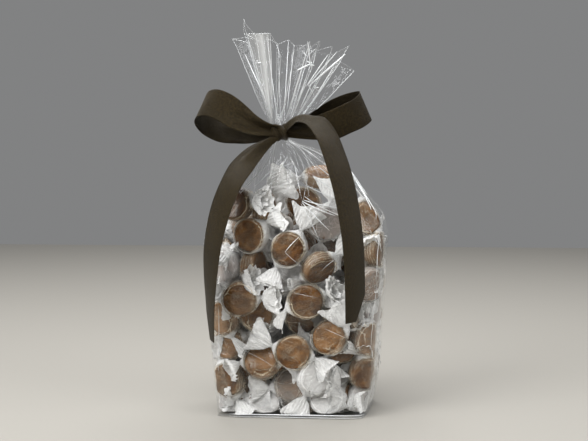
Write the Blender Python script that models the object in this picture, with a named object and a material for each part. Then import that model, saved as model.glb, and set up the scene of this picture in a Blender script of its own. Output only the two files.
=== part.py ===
"""Clear gift bag of wrapped caramels, tied with a ribbon bow.

The bag is one closed solid: a square base, a body that the sweets push out unevenly, shoulders gathered
into a neck, and the fan of loose film above the tie. The ribbon is a second solid: a collar round the neck,
a knot in front of it, two loops and two tails. Run it with: blender --background --python part.py
"""

import bmesh
import bpy
from math import cos, radians, sin, tau
from mathutils import Matrix, Vector

MM = 0.001

# The bag, standing on its base with the wide side facing -Y.
BASE_WIDTH = 127 * MM  # five inches
BASE_DEPTH = 76 * MM  # three inches
NECK_HEIGHT = 240 * MM  # the middle of the tie
NECK_RADIUS = 6.4 * MM
NECK_CENTRE = Vector((-15.5 * MM, -1 * MM, 0))
BAG_SIDES = 72  # points round the bag
RING_STEP = 8 * MM  # height between rings on the body

# The body at each height: its middle, half width, half depth, and squareness (a superellipse's exponent).
BODY_SECTIONS = (
    # height, middle, half width, half depth, squareness
    (0, 0, 63.0, 37.6, 11.0),
    (3, 0, 63.5, 38.0, 10.0),
    (30, 0.8, 67.5, 41.5, 7.0),
    (70, 0.3, 71.0, 44.0, 5.0),
    (110, 0.2, 74.5, 45.5, 4.4),
    (145, -0.4, 76.5, 46.5, 4.0),
    (161, 0, 75.5, 45.8, 3.8),
    (172, -0.3, 72.0, 43.5, 3.6),
    (184, -2.7, 65.0, 40.0, 3.3),
    (196, -5.2, 58.5, 36.0, 3.0),
    (208, -7.0, 52.0, 31.0, 2.7),
    (218, -8.7, 43.0, 25.0, 2.4),
    (226, -10.7, 29.5, 18.5, 2.2),
    (231, -13.0, 15.5, 12.0, 2.1),
    (236, -15.5, 6.4, 6.4, 2.0),
    (244, -15.5, 6.4, 6.4, 2.0),
)
SHEAR = 0.15  # how far the soft bag has slumped to +X for each step towards its back
BULGE = 1.7 * MM  # how far single sweets push the film out
GATHER_START = 176 * MM  # pleats begin here and deepen up to the neck
GATHERS = 17
GATHER_DEPTH = 0.16  # of the radius, just below the neck

# The fan of loose film above the tie, which ends in an uneven rim.
FAN_START = 246.5 * MM
FAN_RINGS = 9
FAN_RIM = (
    # angle round the neck in degrees, reach from it, height
    (0, 62, 296),
    (25, 57, 310),
    (55, 38, 318),
    (90, 30, 322),
    (125, 37, 327),
    (155, 45, 329),
    (183, 45, 324),
    (200, 39, 336),
    (225, 34, 324),
    (262, 27, 301),
    (292, 31, 314),
    (330, 52, 311),
    (360, 62, 296),
)
FAN_PLEATS = 11
FAN_PLEAT_DEPTH = 0.26  # of the reach, at the rim
FAN_DISH = 7 * MM  # how far the middle of its top sinks

# The ribbon, an inch wide. The bow faces a little to the right of the bag's front.
RIBBON_WIDTH = 25.4 * MM
RIBBON_THICKNESS = 0.9 * MM
RIBBON_STEP = 6.5 * MM
RIBBON_ACROSS = 5  # points across the ribbon
BOW_TURN = radians(4)
BOW_SHIFT = -1.5  # millimetres the whole bow sits to the left of the bag's axis
KNOT_CENTRE = (-14, -16, 241)
KNOT_HALF_SIZE = (8.4, 7.2, 8.0)
COLLAR_GAP = 0.6 * MM  # between the collar and the film inside it
COLLAR_THICKNESS = 3.0 * MM
COLLAR_HEIGHT = 6.8 * MM

# Each run of ribbon is a list of stations: a place in the bow's own directions and millimetres (across, back,
# up), the direction across the ribbon, the share of its width that is left where it gathers, and how many
# degrees each half of it curls.
LEFT_LOOP = (
    ((-13, -20, 241.5), (0.05, 0.1, 1.0), 0.38, 55),
    ((-24, -22, 243), (0.05, 0.2, 1.0), 0.5, 50),
    ((-36, -24, 246.5), (0.05, 0.25, 1.0), 0.74, 40),
    ((-49, -25, 254), (0.16, 0.2, 1.0), 0.95, 26),
    ((-60, -23, 261.5), (0.26, 0.28, 0.93), 1.0, 12),
    ((-71, -17, 266), (0.25, 0.35, 0.9), 1.0, 4),
    ((-80, -8, 265), (0.36, 0.38, 0.85), 1.0, 0),
    ((-83, 1, 260), (0.34, 0.42, 0.85), 1.0, 0),
    ((-78, 10, 251), (0.28, 0.48, 0.83), 1.0, 4),
    ((-65, 13, 244), (0.18, 0.5, 0.84), 1.0, 10),
    ((-49, 9, 241.5), (0.08, 0.48, 0.86), 0.9, 20),
    ((-34, -2, 240), (0.0, 0.35, 0.93), 0.68, 34),
    ((-23, -9, 240), (0.0, 0.2, 1.0), 0.48, 46),
    ((-13, -13, 240), (0.05, 0.1, 1.0), 0.38, 50),
)
RIGHT_LOOP = (
    ((-15, -20, 242), (-0.1, 0.0, 1.0), 0.38, 55),
    ((-3, -21, 242), (-0.15, 0.0, 1.0), 0.52, 50),
    ((13, -25, 243.5), (-0.22, -0.2, 0.95), 0.8, 36),
    ((28, -28, 246), (-0.28, -0.28, 0.92), 1.0, 16),
    ((42, -27, 252), (-0.33, -0.28, 0.9), 1.0, 4),
    ((53, -21, 257.5), (-0.37, -0.2, 0.9), 1.0, 0),
    ((59, -11, 263), (-0.4, -0.08, 0.91), 1.0, 0),
    ((58, -2, 264.5), (-0.4, 0.02, 0.91), 1.0, 0),
    ((50, 4, 263.5), (-0.38, -0.05, 0.92), 1.0, 0),
    ((36, 6, 258.5), (-0.34, -0.12, 0.93), 1.0, 6),
    ((21, 3, 252), (-0.28, -0.15, 0.95), 0.86, 20),
    ((7, -4, 246.5), (-0.2, -0.1, 0.97), 0.62, 36),
    ((-4, -9, 243), (-0.1, 0.0, 1.0), 0.46, 46),
    ((-15, -13, 241), (-0.1, 0.0, 1.0), 0.38, 50),
)
RIGHT_TAIL = (
    ((-13, -17, 240), (0.2, 0.2, 0.95), 0.38, 55),
    ((-5, -24, 248), (0.4, 0.6, 0.6), 0.55, 50),
    ((5, -34, 253), (0.58, 0.75, 0.26), 0.85, 34),
    ((16, -47, 250.5), (0.66, 0.72, 0.2), 1.0, 20),
    ((24, -55, 240), (0.68, 0.71, 0.16), 1.0, 14),
    ((31.5, -59, 221), (0.72, 0.67, 0.1), 1.0, 10),
    ((38.5, -60, 197), (0.74, 0.66, 0.04), 1.0, 8),
    ((43.5, -60, 172), (0.72, 0.68, 0.03), 1.0, 8),
    ((46.5, -60, 148), (0.7, 0.7, 0.0), 1.0, 8),
    ((48, -59, 120), (0.68, 0.72, 0.0), 1.0, 8),
    ((48.5, -58, 86), (0.66, 0.74, 0.0), 1.0, 8),
)
RIGHT_TAIL_CUT = 21 * MM  # how much shorter the far edge is at the slanting end
LEFT_TAIL = (
    ((-14, -17, 239.5), (0.35, -0.8, 0.1), 0.38, 50),
    ((-25, -23, 233), (0.42, -0.66, -0.36), 0.5, 46),
    ((-35, -31, 225.5), (0.5, -0.68, -0.5), 0.8, 36),
    ((-45, -39, 214), (0.6, -0.68, -0.4), 1.0, 22),
    ((-54, -46, 199), (0.66, -0.7, -0.25), 1.0, 14),
    ((-61, -50, 182), (0.68, -0.7, -0.15), 1.0, 10),
    ((-66, -52, 164), (0.66, -0.74, -0.05), 1.0, 8),
    ((-69.5, -53, 145), (0.6, -0.8, 0.0), 1.0, 8),
    ((-71, -53, 125), (0.5, -0.86, 0.0), 1.0, 8),
    ((-71.5, -52, 101), (0.36, -0.93, 0.0), 1.0, 8),
    ((-71, -50, 70), (0.26, -0.96, 0.0), 1.0, 8),
)
LEFT_TAIL_CUT = -21 * MM

FILM_COLOUR = (0.86, 0.88, 0.89, 1.0)
RIBBON_COLOUR = (0.075, 0.058, 0.036, 1.0)


def clear_scene():
    for item in list(bpy.data.objects):
        bpy.data.objects.remove(item)


def make_material(name, colour, roughness):
    """A Principled material in one colour."""
    material = bpy.data.materials.new(name)
    material.use_nodes = True
    shader = material.node_tree.nodes["Principled BSDF"]
    shader.inputs["Base Color"].default_value = colour
    shader.inputs["Roughness"].default_value = roughness
    shader.inputs["Metallic"].default_value = 0.0
    return material


def add_object(name, mesh_data, material=None):
    """Makes an object from a bmesh, its faces pointing out, smooth except across sharp edges."""
    bmesh.ops.recalc_face_normals(mesh_data, faces=mesh_data.faces)
    mesh = bpy.data.meshes.new(name)
    mesh_data.to_mesh(mesh)
    mesh_data.free()
    mesh.shade_smooth()
    mesh.set_sharp_from_angle(angle=radians(40))
    item = bpy.data.objects.new(name, mesh)
    bpy.context.scene.collection.objects.link(item)
    if material:
        mesh.materials.append(material)
    return item


def smooth_step(value):
    """0 below 0, 1 above 1, and a smooth curve between."""
    value = max(0.0, min(1.0, value))
    return value * value * (3 - 2 * value)


def spline(rows, at, position):
    """A smooth curve through rows of equal length: the row at a position, where row i stands at at[i]."""
    last = len(rows) - 1
    i = next((k for k in range(last) if position <= at[k + 1]), last - 1)
    span = at[i + 1] - at[i]
    t = max(0.0, min(1.0, (position - at[i]) / span))

    def slope(k, column):
        low, high = max(0, k - 1), min(last, k + 1)
        return (rows[high][column] - rows[low][column]) / (at[high] - at[low])

    def value(column):
        start, end = rows[i][column], rows[i + 1][column]
        rise = (2 * t**3 - 3 * t**2 + 1) * start + (3 * t**2 - 2 * t**3) * end
        bend = (t**3 - 2 * t**2 + t) * slope(i, column) + (t**3 - t**2) * slope(i + 1, column)
        return rise + span * bend

    return [value(column) for column in range(len(rows[0]))]


def bridge_rings(mesh_data, rings):
    """Faces between rings of vertices."""
    for low, high in zip(rings, rings[1:]):
        count = len(low)
        for i in range(count):
            j = (i + 1) % count
            mesh_data.faces.new((low[i], low[j], high[j], high[i]))


def close_ring(mesh_data, ring, sink=0.0):
    """Faces from a ring to a new vertex in its middle, which sits lower by the sink."""
    place = sum((vertex.co for vertex in ring), Vector()) / len(ring)
    middle = mesh_data.verts.new(place - Vector((0, 0, sink)))
    for first, second in zip(ring, ring[1:] + ring[:1]):
        mesh_data.faces.new((first, second, middle))


def sweets_bulge(angle, height):
    """The uneven push of the sweets behind the film, from -1 to 1."""
    up = height / MM
    waves = (
        sin(3 * angle + up / 9.5) * cos(up / 13.0),
        sin(7 * angle - up / 11.0 + 1.3),
        cos(5 * angle + up / 7.5 + 2.1) * sin(up / 17.0 + 0.6),
    )
    return sum(waves) / len(waves)


def body_ring(height):
    """Points round the body at one height."""
    heights = [row[0] * MM for row in BODY_SECTIONS]
    _, middle, half_width, half_depth, squareness = spline(BODY_SECTIONS, heights, height)
    gather = smooth_step((height - GATHER_START) / (NECK_HEIGHT - GATHER_START))
    free = smooth_step(height / (25 * MM)) * (1 - smooth_step((height - 190 * MM) / (40 * MM)))
    centre = Vector((middle * MM, NECK_CENTRE.y * gather, height))
    points = []
    for i in range(BAG_SIDES):
        angle = tau * i / BAG_SIDES
        across, back = cos(angle), sin(angle)
        sides = abs(across / half_width) ** squareness + abs(back / half_depth) ** squareness
        reach = sides ** (-1 / squareness)
        reach *= 1 - GATHER_DEPTH * gather * (0.5 + 0.5 * cos(GATHERS * angle + 0.8 * sin(2 * angle)))
        reach = reach * MM + BULGE * free * sweets_bulge(angle, height)
        shear = SHEAR * (1 - gather)
        points.append(centre + Vector(((across + back * shear) * reach, back * reach, 0)))
    return points


def fan_ring(share):
    """Points round the fan of film at a share of the way from the tie to its rim."""
    rim_angles = [radians(row[0]) for row in FAN_RIM]
    points = []
    for i in range(BAG_SIDES):
        angle = tau * i / BAG_SIDES
        _, rim_reach, rim_height = spline(FAN_RIM, rim_angles, angle)
        pleat = 0.5 + 0.5 * cos(FAN_PLEATS * angle + 1.1 * sin(angle + 0.7))
        fold = 1 - (GATHER_DEPTH + (FAN_PLEAT_DEPTH - GATHER_DEPTH) * share) * (1 - pleat)
        reach = (NECK_RADIUS + (rim_reach * MM - NECK_RADIUS) * share**0.72) * fold
        rise = FAN_START + (rim_height * MM - FAN_START) * share
        spoke = turned(cos(angle), sin(angle), 0)
        points.append(NECK_CENTRE + spoke * reach + Vector((0, 0, rise)))
    return points


def make_bag(material):
    """The whole bag of film, solid out to its surface."""
    mesh_data = bmesh.new()
    body_top = BODY_SECTIONS[-1][0] * MM
    steps = round(body_top / RING_STEP)
    heights = [0.0, 3 * MM] + [body_top * k / steps for k in range(2, steps + 1)]
    rings = [body_ring(height) for height in heights]
    rings += [fan_ring(k / FAN_RINGS) for k in range(FAN_RINGS + 1)]
    top = rings[-1]
    middle = sum(top, Vector()) / len(top)
    inner = [point.lerp(middle, 0.5) - Vector((0, 0, FAN_DISH * 0.75)) for point in top]
    rings.append(inner)
    made = [[mesh_data.verts.new(point) for point in ring] for ring in rings]
    bridge_rings(mesh_data, made)
    close_ring(mesh_data, made[0])
    close_ring(mesh_data, made[-1], FAN_DISH * 0.25)
    return add_object("bag", mesh_data, material)


def turned(across, away, up):
    """A direction in the bow's own directions, turned into the bag's."""
    return Matrix.Rotation(BOW_TURN, 3, "Z") @ Vector((across, away, up))


def placed(across, away, up):
    """A place given in the bow's own directions and millimetres, moved to where it is on the bag."""
    return turned(across + BOW_SHIFT, away, up) * MM


def ribbon_lines(stations):
    """Rows of place, direction across, width left and curl, and how far along the ribbon each row is."""
    rows = []
    for place, direction, left, curl in stations:
        rows.append([*placed(*place), *turned(*direction).normalized(), left, radians(curl)])
    along = [0.0]
    for first, second in zip(rows, rows[1:]):
        along.append(along[-1] + (Vector(second[:3]) - Vector(first[:3])).length)
    return rows, along


def ribbon_strip(name, stations, cut=0.0):
    """A strip of ribbon along its stations, curled across its width, its end slanting by the cut."""
    rows, along = ribbon_lines(stations)
    total = along[-1]
    steps = max(8, round(total / RIBBON_STEP))
    mesh_data = bmesh.new()
    rings = []
    for k in range(steps + 1):
        faces = ([], [])
        for j in range(RIBBON_ACROSS):
            across = 2 * j / (RIBBON_ACROSS - 1) - 1
            short = max(0.0, across * cut)
            position = (total - short) * k / steps
            here = spline(rows, along, position)
            ahead = spline(rows, along, min(total, position + 0.5 * MM))
            behind = spline(rows, along, max(0.0, position - 0.5 * MM))
            middle, curl = Vector(here[:3]), here[7]
            travel = (Vector(ahead[:3]) - Vector(behind[:3])).normalized()
            wide = Vector(here[3:6])
            wide = (wide - travel * wide.dot(travel)).normalized()
            normal = travel.cross(wide)
            half = RIBBON_WIDTH / 2 * here[6]
            if curl < radians(1):
                place, outward = middle + wide * half * across, normal
            else:
                radius = half / curl
                turn = curl * across
                arch = radius * (cos(turn) - 0.5 - 0.5 * cos(curl))
                place = middle + wide * radius * sin(turn) + normal * arch
                outward = wide * sin(turn) + normal * cos(turn)
            for side, sign in zip(faces, (1, -1)):
                side.append(place + outward * sign * RIBBON_THICKNESS / 2)
        rings.append(faces[0] + list(reversed(faces[1])))
    made = [[mesh_data.verts.new(point) for point in ring] for ring in rings]
    bridge_rings(mesh_data, made)
    for ring in (made[0], made[-1]):
        for j in range(RIBBON_ACROSS - 1):
            mesh_data.faces.new((ring[j], ring[j + 1], ring[-2 - j], ring[-1 - j]))
    return add_object(name, mesh_data)


def make_knot():
    """The knot: a lump of ribbon with a few folds across it."""
    mesh_data = bmesh.new()
    bmesh.ops.create_uvsphere(mesh_data, u_segments=20, v_segments=12, radius=1.0)
    for vertex in mesh_data.verts:
        x, y, z = vertex.co
        fold = 1 + 0.07 * cos(9 * x + 2 * z)
        shaped = Vector([c * size * fold for c, size in zip((x, y, z), KNOT_HALF_SIZE)])
        vertex.co = placed(*(Vector(KNOT_CENTRE) + shaped))
    return add_object("ribbon", mesh_data)


def make_collar():
    """The ribbon round the neck: a band turned about the neck's axis."""
    mesh_data = bmesh.new()
    inner = NECK_RADIUS + COLLAR_GAP
    outer = inner + COLLAR_THICKNESS
    rise, ease = COLLAR_HEIGHT / 2, 0.9 * MM
    profile = (
        (inner, -rise + ease),
        (inner + ease, -rise),
        (outer - ease, -rise),
        (outer, -rise + ease),
        (outer, rise - ease),
        (outer - ease, rise),
        (inner + ease, rise),
        (inner, rise - ease),
    )
    turns = 28
    rings = []
    for k in range(turns):
        angle = tau * k / turns
        spoke = Vector((cos(angle), sin(angle), 0))
        centre = NECK_CENTRE + Vector((0, 0, NECK_HEIGHT))
        rings.append([mesh_data.verts.new(centre + spoke * r + Vector((0, 0, z))) for r, z in profile])
    bridge_rings(mesh_data, rings + rings[:1])
    return add_object("collar_joined", mesh_data)


def join_onto(target, piece):
    """Joins a piece onto the target with a Boolean union, and keeps the piece as a guide."""
    union = target.modifiers.new("join_" + piece.name, "BOOLEAN")
    union.operation = "UNION"
    union.object = piece
    piece.hide_render = True
    piece.display_type = "WIRE"


def make_ribbon(material):
    """The whole ribbon as one solid."""
    ribbon = make_knot()
    ribbon.data.materials.append(material)
    join_onto(ribbon, make_collar())
    join_onto(ribbon, ribbon_strip("left_loop_joined", LEFT_LOOP))
    join_onto(ribbon, ribbon_strip("right_loop_joined", RIGHT_LOOP))
    join_onto(ribbon, ribbon_strip("left_tail_joined", LEFT_TAIL, LEFT_TAIL_CUT))
    join_onto(ribbon, ribbon_strip("right_tail_joined", RIGHT_TAIL, RIGHT_TAIL_CUT))
    return ribbon


clear_scene()
make_bag(make_material("film", FILM_COLOUR, 0.15))
make_ribbon(make_material("ribbon", RIBBON_COLOUR, 0.6))
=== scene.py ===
"""A clear film bag of twist-wrapped caramels, tied with a ribbon bow, built round its CAD frame.

The script is laid out as a Blender add-on: the sizes and colours are properties, each group of pieces has its
own operator, and a panel in the 3D view's sidebar lists them. Run as a script, it builds everything.
"""

from math import cos, pi, radians, sin, tau

import bpy
import numpy as np
from bpy.props import FloatProperty, FloatVectorProperty, IntProperty, PointerProperty
from mathutils import Matrix, Vector


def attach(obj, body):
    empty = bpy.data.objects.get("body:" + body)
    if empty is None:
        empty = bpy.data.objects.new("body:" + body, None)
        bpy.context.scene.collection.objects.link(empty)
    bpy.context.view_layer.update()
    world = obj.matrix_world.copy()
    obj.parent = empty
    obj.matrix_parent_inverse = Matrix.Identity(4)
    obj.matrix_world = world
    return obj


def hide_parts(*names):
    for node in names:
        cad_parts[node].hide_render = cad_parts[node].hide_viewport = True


bl_info = {
    "name": "Bag of wrapped caramels",
    "version": (1, 0, 0),
    "blender": (4, 5, 0),
    "location": "3D View > Sidebar > Caramels",
    "description": "Builds a tied film bag of twist-wrapped caramels round its frame",
    "category": "Add Mesh",
}

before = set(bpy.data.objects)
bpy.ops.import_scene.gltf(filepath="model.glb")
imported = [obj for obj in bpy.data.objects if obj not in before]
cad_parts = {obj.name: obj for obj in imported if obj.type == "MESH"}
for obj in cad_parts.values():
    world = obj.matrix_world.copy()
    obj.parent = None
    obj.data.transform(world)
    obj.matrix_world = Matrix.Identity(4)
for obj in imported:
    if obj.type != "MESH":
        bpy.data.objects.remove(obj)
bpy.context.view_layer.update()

MM = 0.001
SEED = 11

# ---------------------------------------------------------------- sizes of the bag, as the frame has them

# Millimetres: a height of the body, then its middle, half width, half depth and squareness there.
BODY_SECTIONS = (
    (0, 0, 63.0, 37.6, 11.0),
    (3, 0, 63.5, 38.0, 10.0),
    (30, 0.8, 67.5, 41.5, 7.0),
    (70, 0.3, 71.0, 44.0, 5.0),
    (110, 0.2, 74.5, 45.5, 4.4),
    (145, -0.4, 76.5, 46.5, 4.0),
    (161, 0, 75.5, 45.8, 3.8),
    (172, -0.3, 72.0, 43.5, 3.6),
    (184, -2.7, 65.0, 40.0, 3.3),
    (196, -5.2, 58.5, 36.0, 3.0),
    (208, -7.0, 52.0, 31.0, 2.7),
    (218, -8.7, 43.0, 25.0, 2.4),
    (226, -10.7, 29.5, 18.5, 2.2),
    (231, -13.0, 15.5, 12.0, 2.1),
    (236, -15.5, 6.4, 6.4, 2.0),
    (244, -15.5, 6.4, 6.4, 2.0),
)
SHEAR = 0.15  # how far the body's plan slants to the right for each millimetre back
NECK = np.array([-15.5, -1.0])
NECK_RADIUS = 6.0
NECK_TOP = 244.0
GATHER_START = 176.0  # from here up the film is drawn in, fully so at the neck
NECK_HEIGHT = 240.0
FAN_ROOT = 240.5  # the fan's film starts inside the tie
BOW_TURN = radians(4)  # the bow, the fan and the sweets at the front are turned this far towards +X
BOW_SHIFT = -1.5  # how far the bow lies across from where its stations say

# ---------------------------------------------------------------- sizes of the sweets, in millimetres

DISC_RADIUS = 14.0
DISC_HALF = 6.0
DISC_SIDES = 40
PAPER_GAP = 0.5  # between a caramel and its paper
FILM_GAP = 0.5  # between the paper and the film
CARAMEL_FILM_GAP = 1.5  # between a caramel and the film
PINCH_REACH = 18.3  # from a sweet's middle to where its paper is pinched
PINCH_RADIUS = 1.9
BASE_CLEAR = 3.6  # the folded film under the sweets holds them this far off the ground
BASE_GIVE = 2.4  # and gives way by at most this much
SLEEVE_SIDES = 56
SLEEVE_SLACK = ((1.9, 0.7), (0.9, 1.6))  # how far each style of sleeve stands off its two sides
END_OVERLAP = 0.8  # how far a twisted end starts inside the pinch

# The sweets against the front of the bag: across, up and how far behind the film; how far the face is turned
# right and tipped up, and the slope of the twist, in degrees; how milky its paper is; and for each end its
# way round, how far it rises to the front, and its kind.
FRONT_SWEETS = (
    (-8, 145, 0, -8, 3, 235, 0.0, (248, 15, "fan"), (70, 10, "wide")),
    (-39, 156, 1, -25, 0, 35, 0.1, (25, 30, "leaf"), (228, 12, "strap")),
    (-50, 181, 2, -30, 10, 8, 0.1, (5, 58, "rosette"), (190, -30, "fan")),
    (-30, 177, 7, 66, 0, 78, 0.1, (20, 24, "wide"), (255, -30, "fan")),
    (20, 204, 10, 5, 66, 200, 0.05, (192, 5, "wide"), (20, -20, "fan")),
    (24, 167, 0, 5, -20, 80, 0.6, (85, -10, "wide"), (262, -25, "fan")),
    (17, 129, 2, 30, -36, 220, 0.1, (195, 40, "strap"), (40, -20, "fan")),
    (58, 170, 1, 30, 5, 280, 0.2, (285, 52, "rosette"), (100, 0, "strap")),
    (68, 143, 2, 55, 0, 262, 0.2, (265, 10, "fan"), (82, -20, "fan")),
    (-39, 128, 4, 62, 0, 20, 0.1, (15, 48, "rosette"), (232, 10, "strap")),
    (-8, 119, 9, -20, 30, 130, 0.9, (120, 0, "fan"), (310, -10, "fan")),
    (-50, 103, 0, -8, -6, 3, 0.1, (2, 26, "bowl"), (180, -10, "strap")),
    (8, 101, 0, 5, 4, 21, 0.0, (24, 25, "bowl"), (232, 14, "strap")),
    (4, 84, 13, 8, -14, 165, 0.1, (192, 18, "wide"), (345, -30, "fan")),
    (-5, 58, 0, -5, 4, 165, 0.0, (150, 8, "wide"), (318, -6, "fan")),
    (-32, 48, 0, -8, 32, 178, 0.1, (203, 20, "leaf"), (0, -40, "fan")),
    (38, 61, 11, 6, 0, 49, 0.1, (88, 36, "rosette"), (292, 14, "fan")),
    (28, 70, 0, -18, 10, 203, 0.1, (112, 26, "wide"), (20, -40, "fan")),
    (60, 67, 3, 35, 0, 80, 0.35, (80, -10, "fan"), (240, -35, "fan")),
    (66, 91, 3, 45, 0, 60, 0.6, (60, -10, "fan"), (245, -10, "fan")),
    (61, 114, 3, 35, -10, 200, 0.5, (190, 35, "rosette"), (10, 0, "fan")),
    (58, 38, 2, 20, -10, 105, 0.0, (150, 24, "strap"), (275, 6, "fan")),
    (-61, 31, 3, -30, 0, 300, 0.2, (305, 0, "leaf"), (120, 0, "fan")),
    (-42, 29, 10, -5, 0, 70, 0.1, (60, 0, "fan"), (250, 10, "fan")),
    (-5, 26, 1, 4, 24, 5, 0.45, (0, 10, "fan"), (182, 8, "fan")),
    (2, 8, 1, 0, 88, 3, 0.3, (2, 0, "fan"), (182, 0, "fan")),
    (25, 15, 1, 0, 22, 4, 1.0, (352, 14, "leaf"), (185, -10, "fan")),
    (-30, 14, 1, 0, 28, 178, 1.0, (170, 14, "leaf"), (0, -10, "fan")),
    (15, 36, 4, 10, 0, 62, 1.0, (60, 0, "wide"), (245, 0, "fan")),
    (-62, 82, 5, -35, 0, 300, 0.3, (318, 22, "strap"), (110, 10, "fan")),
    (-60, 62, 4, -30, 10, 20, 0.2, (30, 10, "strap"), (200, 0, "fan")),
    (-35, 88, 12, 0, 10, 100, 0.1, (95, 0, "fan"), (280, 0, "fan")),
    (-62, 128, 3, -35, 5, 290, 0.7, (300, 20, "wide"), (110, 0, "strap")),
    (5, 181, 30, -10, 10, 150, 0.1, (150, 0, "fan"), (330, 0, "fan")),
    (58, 12, 2, 30, 10, 20, 0.7, (160, 14, "fan"), (10, 0, "fan")),
    (-58, 10, 2, -30, 20, 170, 0.8, (215, 10, "fan"), (0, 0, "fan")),
)


# ---------------------------------------------------------------- shader maths


class Value:
    """One output in a material, so that sums on it read as sums."""

    def __init__(self, finish, socket):
        self.finish, self.socket = finish, socket

    def maths(self, operation, other, reflected=False):
        first, second = (other, self) if reflected else (self, other)
        return self.finish.node("ShaderNodeMath", {"operation": operation}, {0: first, 1: second})

    def __add__(self, other):
        return self.maths("ADD", other)

    __radd__ = __add__

    def __sub__(self, other):
        return self.maths("SUBTRACT", other)

    def __rsub__(self, other):
        return self.maths("SUBTRACT", other, True)

    def __mul__(self, other):
        return self.maths("MULTIPLY", other)

    __rmul__ = __mul__

    def __truediv__(self, other):
        return self.maths("DIVIDE", other)

    def __pow__(self, other):
        return self.maths("POWER", other)

    def __abs__(self):
        return self.maths("ABSOLUTE", 0.0)

    def sine(self):
        return self.maths("SINE", 0.0)

    def folded(self, top):
        """The value going up to the top and down again, over and over."""
        return self.maths("PINGPONG", top)

    def clamped(self):
        return self.finish.node("ShaderNodeClamp", {}, {"Value": self})


class Finish:
    """A material and the one method that adds nodes to it."""

    def __init__(self, name):
        self.material = bpy.data.materials.new(name)
        self.material.use_nodes = True
        self.tree = self.material.node_tree
        self.tree.nodes.clear()

    def node(self, kind, settings, sockets, output=0):
        """Adds a node: its settings first, then the values or links of its sockets."""
        made = self.tree.nodes.new(kind)
        for key, value in settings.items():
            if key == "stops":
                ramp = made.color_ramp.elements
                while len(ramp) < len(value):
                    ramp.new(1.0)
                for element, (place, colour) in zip(ramp, value):
                    element.position, element.color = place, colour
            else:
                setattr(made, key, value)
        for key, value in sockets.items():
            if isinstance(value, Value):
                self.tree.links.new(value.socket, made.inputs[key])
            else:
                made.inputs[key].default_value = value
        return Value(self, made.outputs[output]) if made.outputs else None

    def object_place(self):
        return self.node("ShaderNodeTexCoord", {}, {}, "Object")

    def attribute(self, name, output="Fac"):
        return self.node("ShaderNodeAttribute", {"attribute_name": name}, {}, output)

    def noise(self, place, scale, detail=3.0, roughness=0.5, distortion=0.0):
        sockets = {"Vector": place, "Scale": scale, "Detail": detail, "Roughness": roughness}
        return self.node("ShaderNodeTexNoise", {}, {**sockets, "Distortion": distortion})

    def split(self, vector):
        """The three numbers of a vector."""
        first = self.node("ShaderNodeSeparateXYZ", {}, {"Vector": vector})
        return [Value(self, socket) for socket in first.socket.node.outputs]

    def ramp(self, value, low, high):
        """0 where the value is at the low number, 1 at the high one, and clamped outside."""
        sockets = {"Value": value, "From Min": low, "From Max": high}
        return self.node("ShaderNodeMapRange", {"clamp": True}, sockets)

    def blend(self, share, first, second):
        """A colour between two colours."""
        settings = {"data_type": "RGBA", "blend_type": "MIX"}
        return self.node("ShaderNodeMix", settings, {0: share, 6: first, 7: second}, 2)

    def stretch(self, place, scale):
        return self.node("ShaderNodeMapping", {}, {"Vector": place, "Scale": scale})

    def bump(self, height, strength, distance):
        sockets = {"Height": height, "Strength": strength, "Distance": distance}
        return self.node("ShaderNodeBump", {}, sockets)

    def shader_mix(self, share, first, second):
        return self.node("ShaderNodeMixShader", {}, {0: share, 1: first, 2: second})

    def clear(self):
        return self.node("ShaderNodeBsdfTransparent", {}, {"Color": (1, 1, 1, 1)})

    def principled(self, sockets):
        return self.node("ShaderNodeBsdfPrincipled", {}, sockets)

    def done(self, surface):
        self.node("ShaderNodeOutputMaterial", {}, {"Surface": surface})
        return self.material


# ---------------------------------------------------------------- materials

RIB_PITCH, THREAD_PITCH = 0.00055, 0.0007  # of the ribbon's weave, in metres


def caramel_finish(colour, dark):
    """Smooth soft caramel with darker clouds and amber streaks, darker and lighter from sweet to sweet."""
    f = Finish("caramel")
    place = f.object_place()
    cloud = f.noise(place, 60.0, 2.0, 0.5, 0.6)
    streaks = f.noise(f.stretch(place, (1.0, 1.0, 1.8)), 85.0, 2.0, 0.5, 0.8)
    fine = f.noise(place, 900.0, 2.0)
    tone = f.attribute("tone")
    grit = f.noise(place, 380.0, 3.0, 0.6, 0.5)
    share = f.ramp(cloud * 0.9 + streaks * 0.7 + grit * 0.25 + tone * 0.35, 0.8, 1.35)
    base = f.blend(share, (*dark, 1), (*colour, 1))
    amber = tuple(c * k for c, k in zip(colour, (1.9, 2.0, 2.4)))
    base = f.blend(f.ramp(streaks + cloud * 0.3, 0.62, 0.92) * (0.12 + tone * 0.4), base, (*amber, 1))
    height = cloud + streaks * 0.5 + grit * 0.35 + fine * 0.1
    sockets = {
        "Base Color": base,
        "Roughness": 0.3 + fine * 0.16,
        "Specular IOR Level": 0.15,
        "Coat Weight": 0.35,
        "Coat Roughness": 0.1,
        "Normal": f.bump(height, 1.0, 0.002),
    }
    return f.done(f.principled(sockets))


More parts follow.
